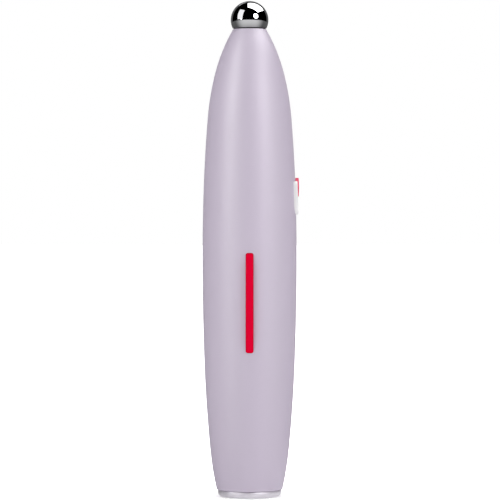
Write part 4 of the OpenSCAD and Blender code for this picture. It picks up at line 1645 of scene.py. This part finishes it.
@dataclass
class Studio:
    """The floor, the room, the panels and the camera.

    The camera's place and aim and the ball's height are in millimetres. The measures of the floor
    and of the cloth are in metres.
    """

    camera_place: tuple[float, float, float] = (0.11, -680.4, 74.3)
    camera_aim: float = 65.43
    lens: float = 184.3
    sensor: float = 36.0
    clip: Point = (0.01, 50.0)
    ball_middle: float = 126.5
    ambient: float = 0.36
    floor_size: float = 12.0
    floor_colour: float = 0.98
    floor_glow: float = 0.2
    floor_near: Point = (0.006, 0.022)
    # Glow of the floor as metal sees it, painted: brighter ahead of the pen, fading near it, and
    # painted shade round the foot that is darker to its left, where the pen's shadow falls
    floor_ahead: Point = (0.2, -0.9)
    floor_mirrored: Point = (0.12, 0.74)
    floor_fade: float = 0.115
    foot: Point = (0.09, 0.03)
    foot_shade: Point = (-0.021, 0.002)
    foot_mirrored: Point = (0.05, 0.6)
    cloth_radius: float = 3.0
    cloth_facets: tuple[int, int] = (48, 24)
    panels: tuple[Panel, ...] = (
        Panel(
            "overhead_panel",
            (
                (-0.123, -0.197, 0.974),
                (0.699, -0.352, 0.622),
                (0.713, 0.473, 0.518),
                (0.628, 0.553, 0.548),
                (-0.08, 0.49, 0.868),
            ),
            5.4,
        ),
        Panel(
            "left_panel",
            (
                (-0.974, -0.216, 0.04),
                (-0.658, 0.041, 0.751),
                (-0.422, -0.415, 0.806),
                (-0.7, -0.711, 0.04),
            ),
            1.2,
        ),
        Panel(
            "left_strip",
            (
                (-0.838, -0.544, 0.026),
                (-0.743, -0.669, 0.026),
                (-0.497, -0.448, 0.743),
                (-0.561, -0.364, 0.743),
            ),
            14.5,
        ),
        Panel.disc("right_round_panel", (0.61, -0.715, 0.342), 14.0, 6.4, Light.GLOSS),
        Panel(
            "back_strip_panel",
            (
                (-0.371, 0.741, 0.559),
                (-0.448, 0.609, 0.655),
                (-0.141, 0.717, 0.682),
                (-0.104, 0.844, 0.526),
            ),
            0.5,
            distance=0.6,
        ),
        Panel.disc("backdrop_panel", (0.0, 1.0, 0.02), 50.0, 0.12, Light.GLOSS),
        Panel.disc("front_fill", (0.0, -0.98, 0.2), 28.0, 0.5, Light.FILL),
        Panel.disc("left_fill", (-0.68, -0.73, 0.1), 20.0, 3.15, Light.FILL),
        Panel.disc("right_fill", (0.92, -0.37, 0.1), 20.0, 3.5, Light.FILL),
        Panel.disc("top_fill", (0.0, 0.1, 0.99), 35.0, 2.0, Light.FILL),
        Panel.disc("back_fill", (0.0, 0.98, 0.2), 28.0, 1.3, Light.FILL),
    )

    def camera(self) -> None:
        """Sets the camera at the photograph's viewing angle."""
        data = bpy.data.cameras.new("studio_camera")
        data.lens = self.lens
        data.sensor_width = self.sensor
        data.clip_start, data.clip_end = self.clip
        camera = bpy.data.objects.new("studio_camera", data)
        place = Vector(self.camera_place) * MM
        aim = Vector((self.camera_place[0], 0, self.camera_aim)) * MM
        camera.location = place
        camera.rotation_euler = (aim - place).to_track_quat("-Z", "Y").to_euler()
        bpy.context.scene.collection.objects.link(camera)
        bpy.context.scene.camera = camera

    def world(self) -> None:
        """Lights the room evenly, with a white background where the camera sees it."""
        world = bpy.data.worlds.new("studio_room")
        bpy.context.scene.world = world
        wiring = Wiring.of(world)
        rays = wiring.add("ShaderNodeLightPath").outputs
        seen = wiring.math("MAXIMUM", rays["Is Camera Ray"], rays["Is Glossy Ray"])
        seen = wiring.math("MAXIMUM", seen, rays["Is Transmission Ray"])
        strength = wiring.math("MULTIPLY_ADD", seen, 1.0 - self.ambient, self.ambient)
        sky = wiring.add("ShaderNodeBackground", color=WHITE, strength=strength)
        wiring.add("ShaderNodeOutputWorld", surface=sky.outputs["Background"])

    def floor(self) -> None:
        """Lays a pale floor that shows white and keeps the pen's shadow."""
        Bench.clear()
        bpy.ops.mesh.primitive_plane_add(size=self.floor_size, location=(0, 0, 0))
        floor = Bench.take("studio_floor")
        bpy.ops.object.mode_set(mode="OBJECT")
        material = bpy.data.materials.new("pale_floor")
        wiring = Wiring.of(material)
        rays = wiring.add("ShaderNodeLightPath").outputs
        place = wiring.add("ShaderNodeTexCoord").outputs["Object"]
        across, depth, _, reach = wiring.measure(place)
        far = wiring.blend(reach, self.floor_near, (self.floor_glow, 1.0))
        shine = wiring.math("MULTIPLY", rays["Is Camera Ray"], far)
        matte = wiring.add("ShaderNodeBsdfDiffuse", color=(*[self.floor_colour] * 3, 1))
        light = wiring.add("ShaderNodeEmission", color=WHITE, strength=shine)
        seen = wiring.add("ShaderNodeAddShader")
        wiring.feed(matte.outputs["BSDF"], seen.inputs[0])
        wiring.feed(light.outputs["Emission"], seen.inputs[1])
        brightness = self._floor_in_mirrors(wiring, across, depth, reach)
        mirrored = wiring.add("ShaderNodeEmission", color=WHITE, strength=brightness)
        choice = wiring.add("ShaderNodeMixShader", fac=rays["Is Glossy Ray"])
        wiring.feed(seen.outputs["Shader"], choice.inputs[1])
        wiring.feed(mirrored.outputs["Emission"], choice.inputs[2])
        wiring.add("ShaderNodeOutputMaterial", surface=choice.outputs["Shader"])
        floor.data.materials.append(material)

    def _floor_in_mirrors(
        self, wiring: Wiring, across: Socket, depth: Socket, reach: Socket
    ) -> Socket:
        """Paints how bright the floor looks in metal: a painted glow, bright in front, with painted
        shade round the pen's foot that is darker to its left, where its shadow falls.

        Args:
            wiring: The floor material's wiring.
            across: X of the point of the floor.
            depth: Y of that point.
            reach: Its distance from the pen's axis.

        Returns:
            The brightness.
        """
        # Painted glow: brighter ahead of the pen and fading near it
        ahead = wiring.math("DIVIDE", depth, reach)
        front = wiring.blend(ahead, self.floor_ahead, self.floor_mirrored)
        square = wiring.math("MULTIPLY", reach, reach)
        spread = wiring.math("ADD", square, self.floor_fade**2)
        far = wiring.math("MULTIPLY", front, wiring.math("DIVIDE", square, spread))
        # Painted shade round the foot, darker to the left of the pen, where its shadow falls
        foot = wiring.blend(reach, self.foot, (0.0, 1.0))
        lit = wiring.blend(across, self.foot_shade, self.foot_mirrored)
        return wiring.math("MAXIMUM", far, wiring.math("MULTIPLY", foot, lit))

    def dark_room(self) -> None:
        """Hangs black cloth round the set, which only reflections see."""
        Bench.clear()
        around, up = self.cloth_facets
        bpy.ops.mesh.primitive_uv_sphere_add(
            segments=around, ring_count=up, radius=self.cloth_radius
        )
        room = Bench.take("black_cloth")
        bpy.ops.object.mode_set(mode="OBJECT")
        room.data.materials.append(glow("black_cloth", 0.0))
        room.visible_diffuse = False
        hide_from_camera(room)

    def build(self) -> None:
        """Sets up the whole studio."""
        bpy.context.scene.view_settings.view_transform = "Standard"
        self.camera()
        self.world()
        self.floor()
        self.dark_room()
        for panel in self.panels:
            panel.hang(Vector((0, 0, self.ball_middle)) * MM)


@dataclass
class Pen:
    """The whole pen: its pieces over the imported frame, each with its finish and its body."""

    shelf: EffectShelf = field(default_factory=EffectShelf)
    outline: Outline = field(default_factory=Outline)

    INSIDE = {
        "cap_seal": Finishes.RUBBER,
        "port_bezel": Finishes.BLACK,
        "button_pad": Finishes.SILICONE,
        "switch_plunger": Finishes.BLACK,
        "switch_body": Finishes.STEEL,
        "probe_stud": Finishes.STEEL,
        "neck_bush": Finishes.NYLON,
        "ring_terminal": Finishes.BRASS,
        "lock_washer": Finishes.STEEL,
        "stud_nut": Finishes.STEEL,
        "probe_lead": Finishes.WIRE,
        "inner_chassis": Finishes.CHASSIS,
        "chassis_screws": Finishes.STEEL,
        "main_board": Finishes.BOARD,
        "board_screws": Finishes.STEEL,
        "controller_chip": Finishes.RESIN,
        "charge_chip": Finishes.RESIN,
        "boost_coil": Finishes.COPPER,
        "board_capacitors": Finishes.CERAMIC,
        "usb_shell": Finishes.STEEL,
        "usb_tongue": Finishes.BLACK,
        "return_contact": Finishes.BRASS,
        "battery_cell": Finishes.CELL,
        "battery_tabs": Finishes.STEEL,
        "battery_foam": Finishes.FOAM,
    }

    def dress(self, piece: Piece, finish: Finish) -> None:
        """Gives a piece its finish."""
        piece.data.materials.clear()
        piece.data.materials.append(finish.material(self.shelf))

    def seat(self, piece: Piece, finish: Finish, body: Body, node: str, slot: str) -> None:
        """Dresses a modelled piece and lets it stand for a node of the frame.

        Args:
            piece: The piece.
            finish: Its finish.
            body: The body that it moves with.
            node: The node that it stands for.
            slot: The record's material slot; not used.
        """
        self.dress(piece, finish)
        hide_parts(node)
        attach(piece, body.value)
        self._report(piece, node)

    def _report(self, piece: Piece, node: str) -> None:
        """Logs a piece's size, how far its box is from its node's and its open edges.

        Args:
            piece: The piece.
            node: The node that it stands for.
        """
        places = [v.co for v in piece.data.vertices]
        low = [min(p[i] for p in places) / MM for i in range(3)]
        high = [max(p[i] for p in places) / MM for i in range(3)]
        frame_low, frame_high = (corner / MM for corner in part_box(node))
        off = max(abs(a - b) for a, b in zip([*low, *high], [*frame_low, *frame_high]))
        work = bmesh.new()
        work.from_mesh(piece.data)
        open_edges = sum(1 for e in work.edges if not e.is_manifold)
        work.free()
        LOG.info(
            "%s: %d faces, %.2f x %.2f x %.2f mm, box within %.3f mm of %s, %d open edges",
            piece.name,
            len(piece.data.polygons),
            *(top - bottom for top, bottom in zip(high, low)),
            off,
            node,
            open_edges,
        )

    def build(self, nodes: dict[str, Piece]) -> None:
        """Builds every piece in order.

        Args:
            nodes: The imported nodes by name.
        """
        button = SideButton(self.outline)
        badge = Badge(self.outline)
        probe = Probe()
        front, back = Shells(self.outline).build(badge, button)
        self.seat(front, Finishes.LILAC, Body.PEN, "button_side_shell", "lilac_shell")
        self.seat(back, Finishes.LILAC, Body.PEN, "plain_side_shell", "lilac_shell")
        self.seat(EndCap().build(), Finishes.CAP, Body.PEN, "end_cap", "end_cap_metal")
        self.seat(button.build(), Finishes.RED, Body.BUTTON, "side_button", "red_button")
        self.seat(badge.plate(), Finishes.BADGE, Body.PEN, "badge_plate", "badge_white")
        self.seat(badge.raised_dot(), Finishes.CORAL, Body.PEN, "badge_dot", "badge_red")
        self.seat(probe.ball(), Finishes.CHROME, Body.PEN, "probe_ball", "ball_chrome")
        self.seat(probe.gasket(), Finishes.RUBBER, Body.PEN, "probe_gasket", "black_rubber")
        for name, finish in self.INSIDE.items():
            self.dress(nodes[name], finish)
            LOG.info("%s: packed solid in %s", name, finish.name)


def corners(pair: tuple[Vector, Vector]) -> list[list[float]]:
    """Turns a box's two corners into plain numbers."""
    return [list(corner) for corner in pair]


def main() -> None:
    """Builds the pen in its studio."""
    logging.basicConfig(level=logging.INFO, format="%(name)s: %(message)s")
    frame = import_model()
    Bench.clear()
    Studio().build()
    Pen().build(frame["nodes"])


if __name__ == "__main__":
    main()
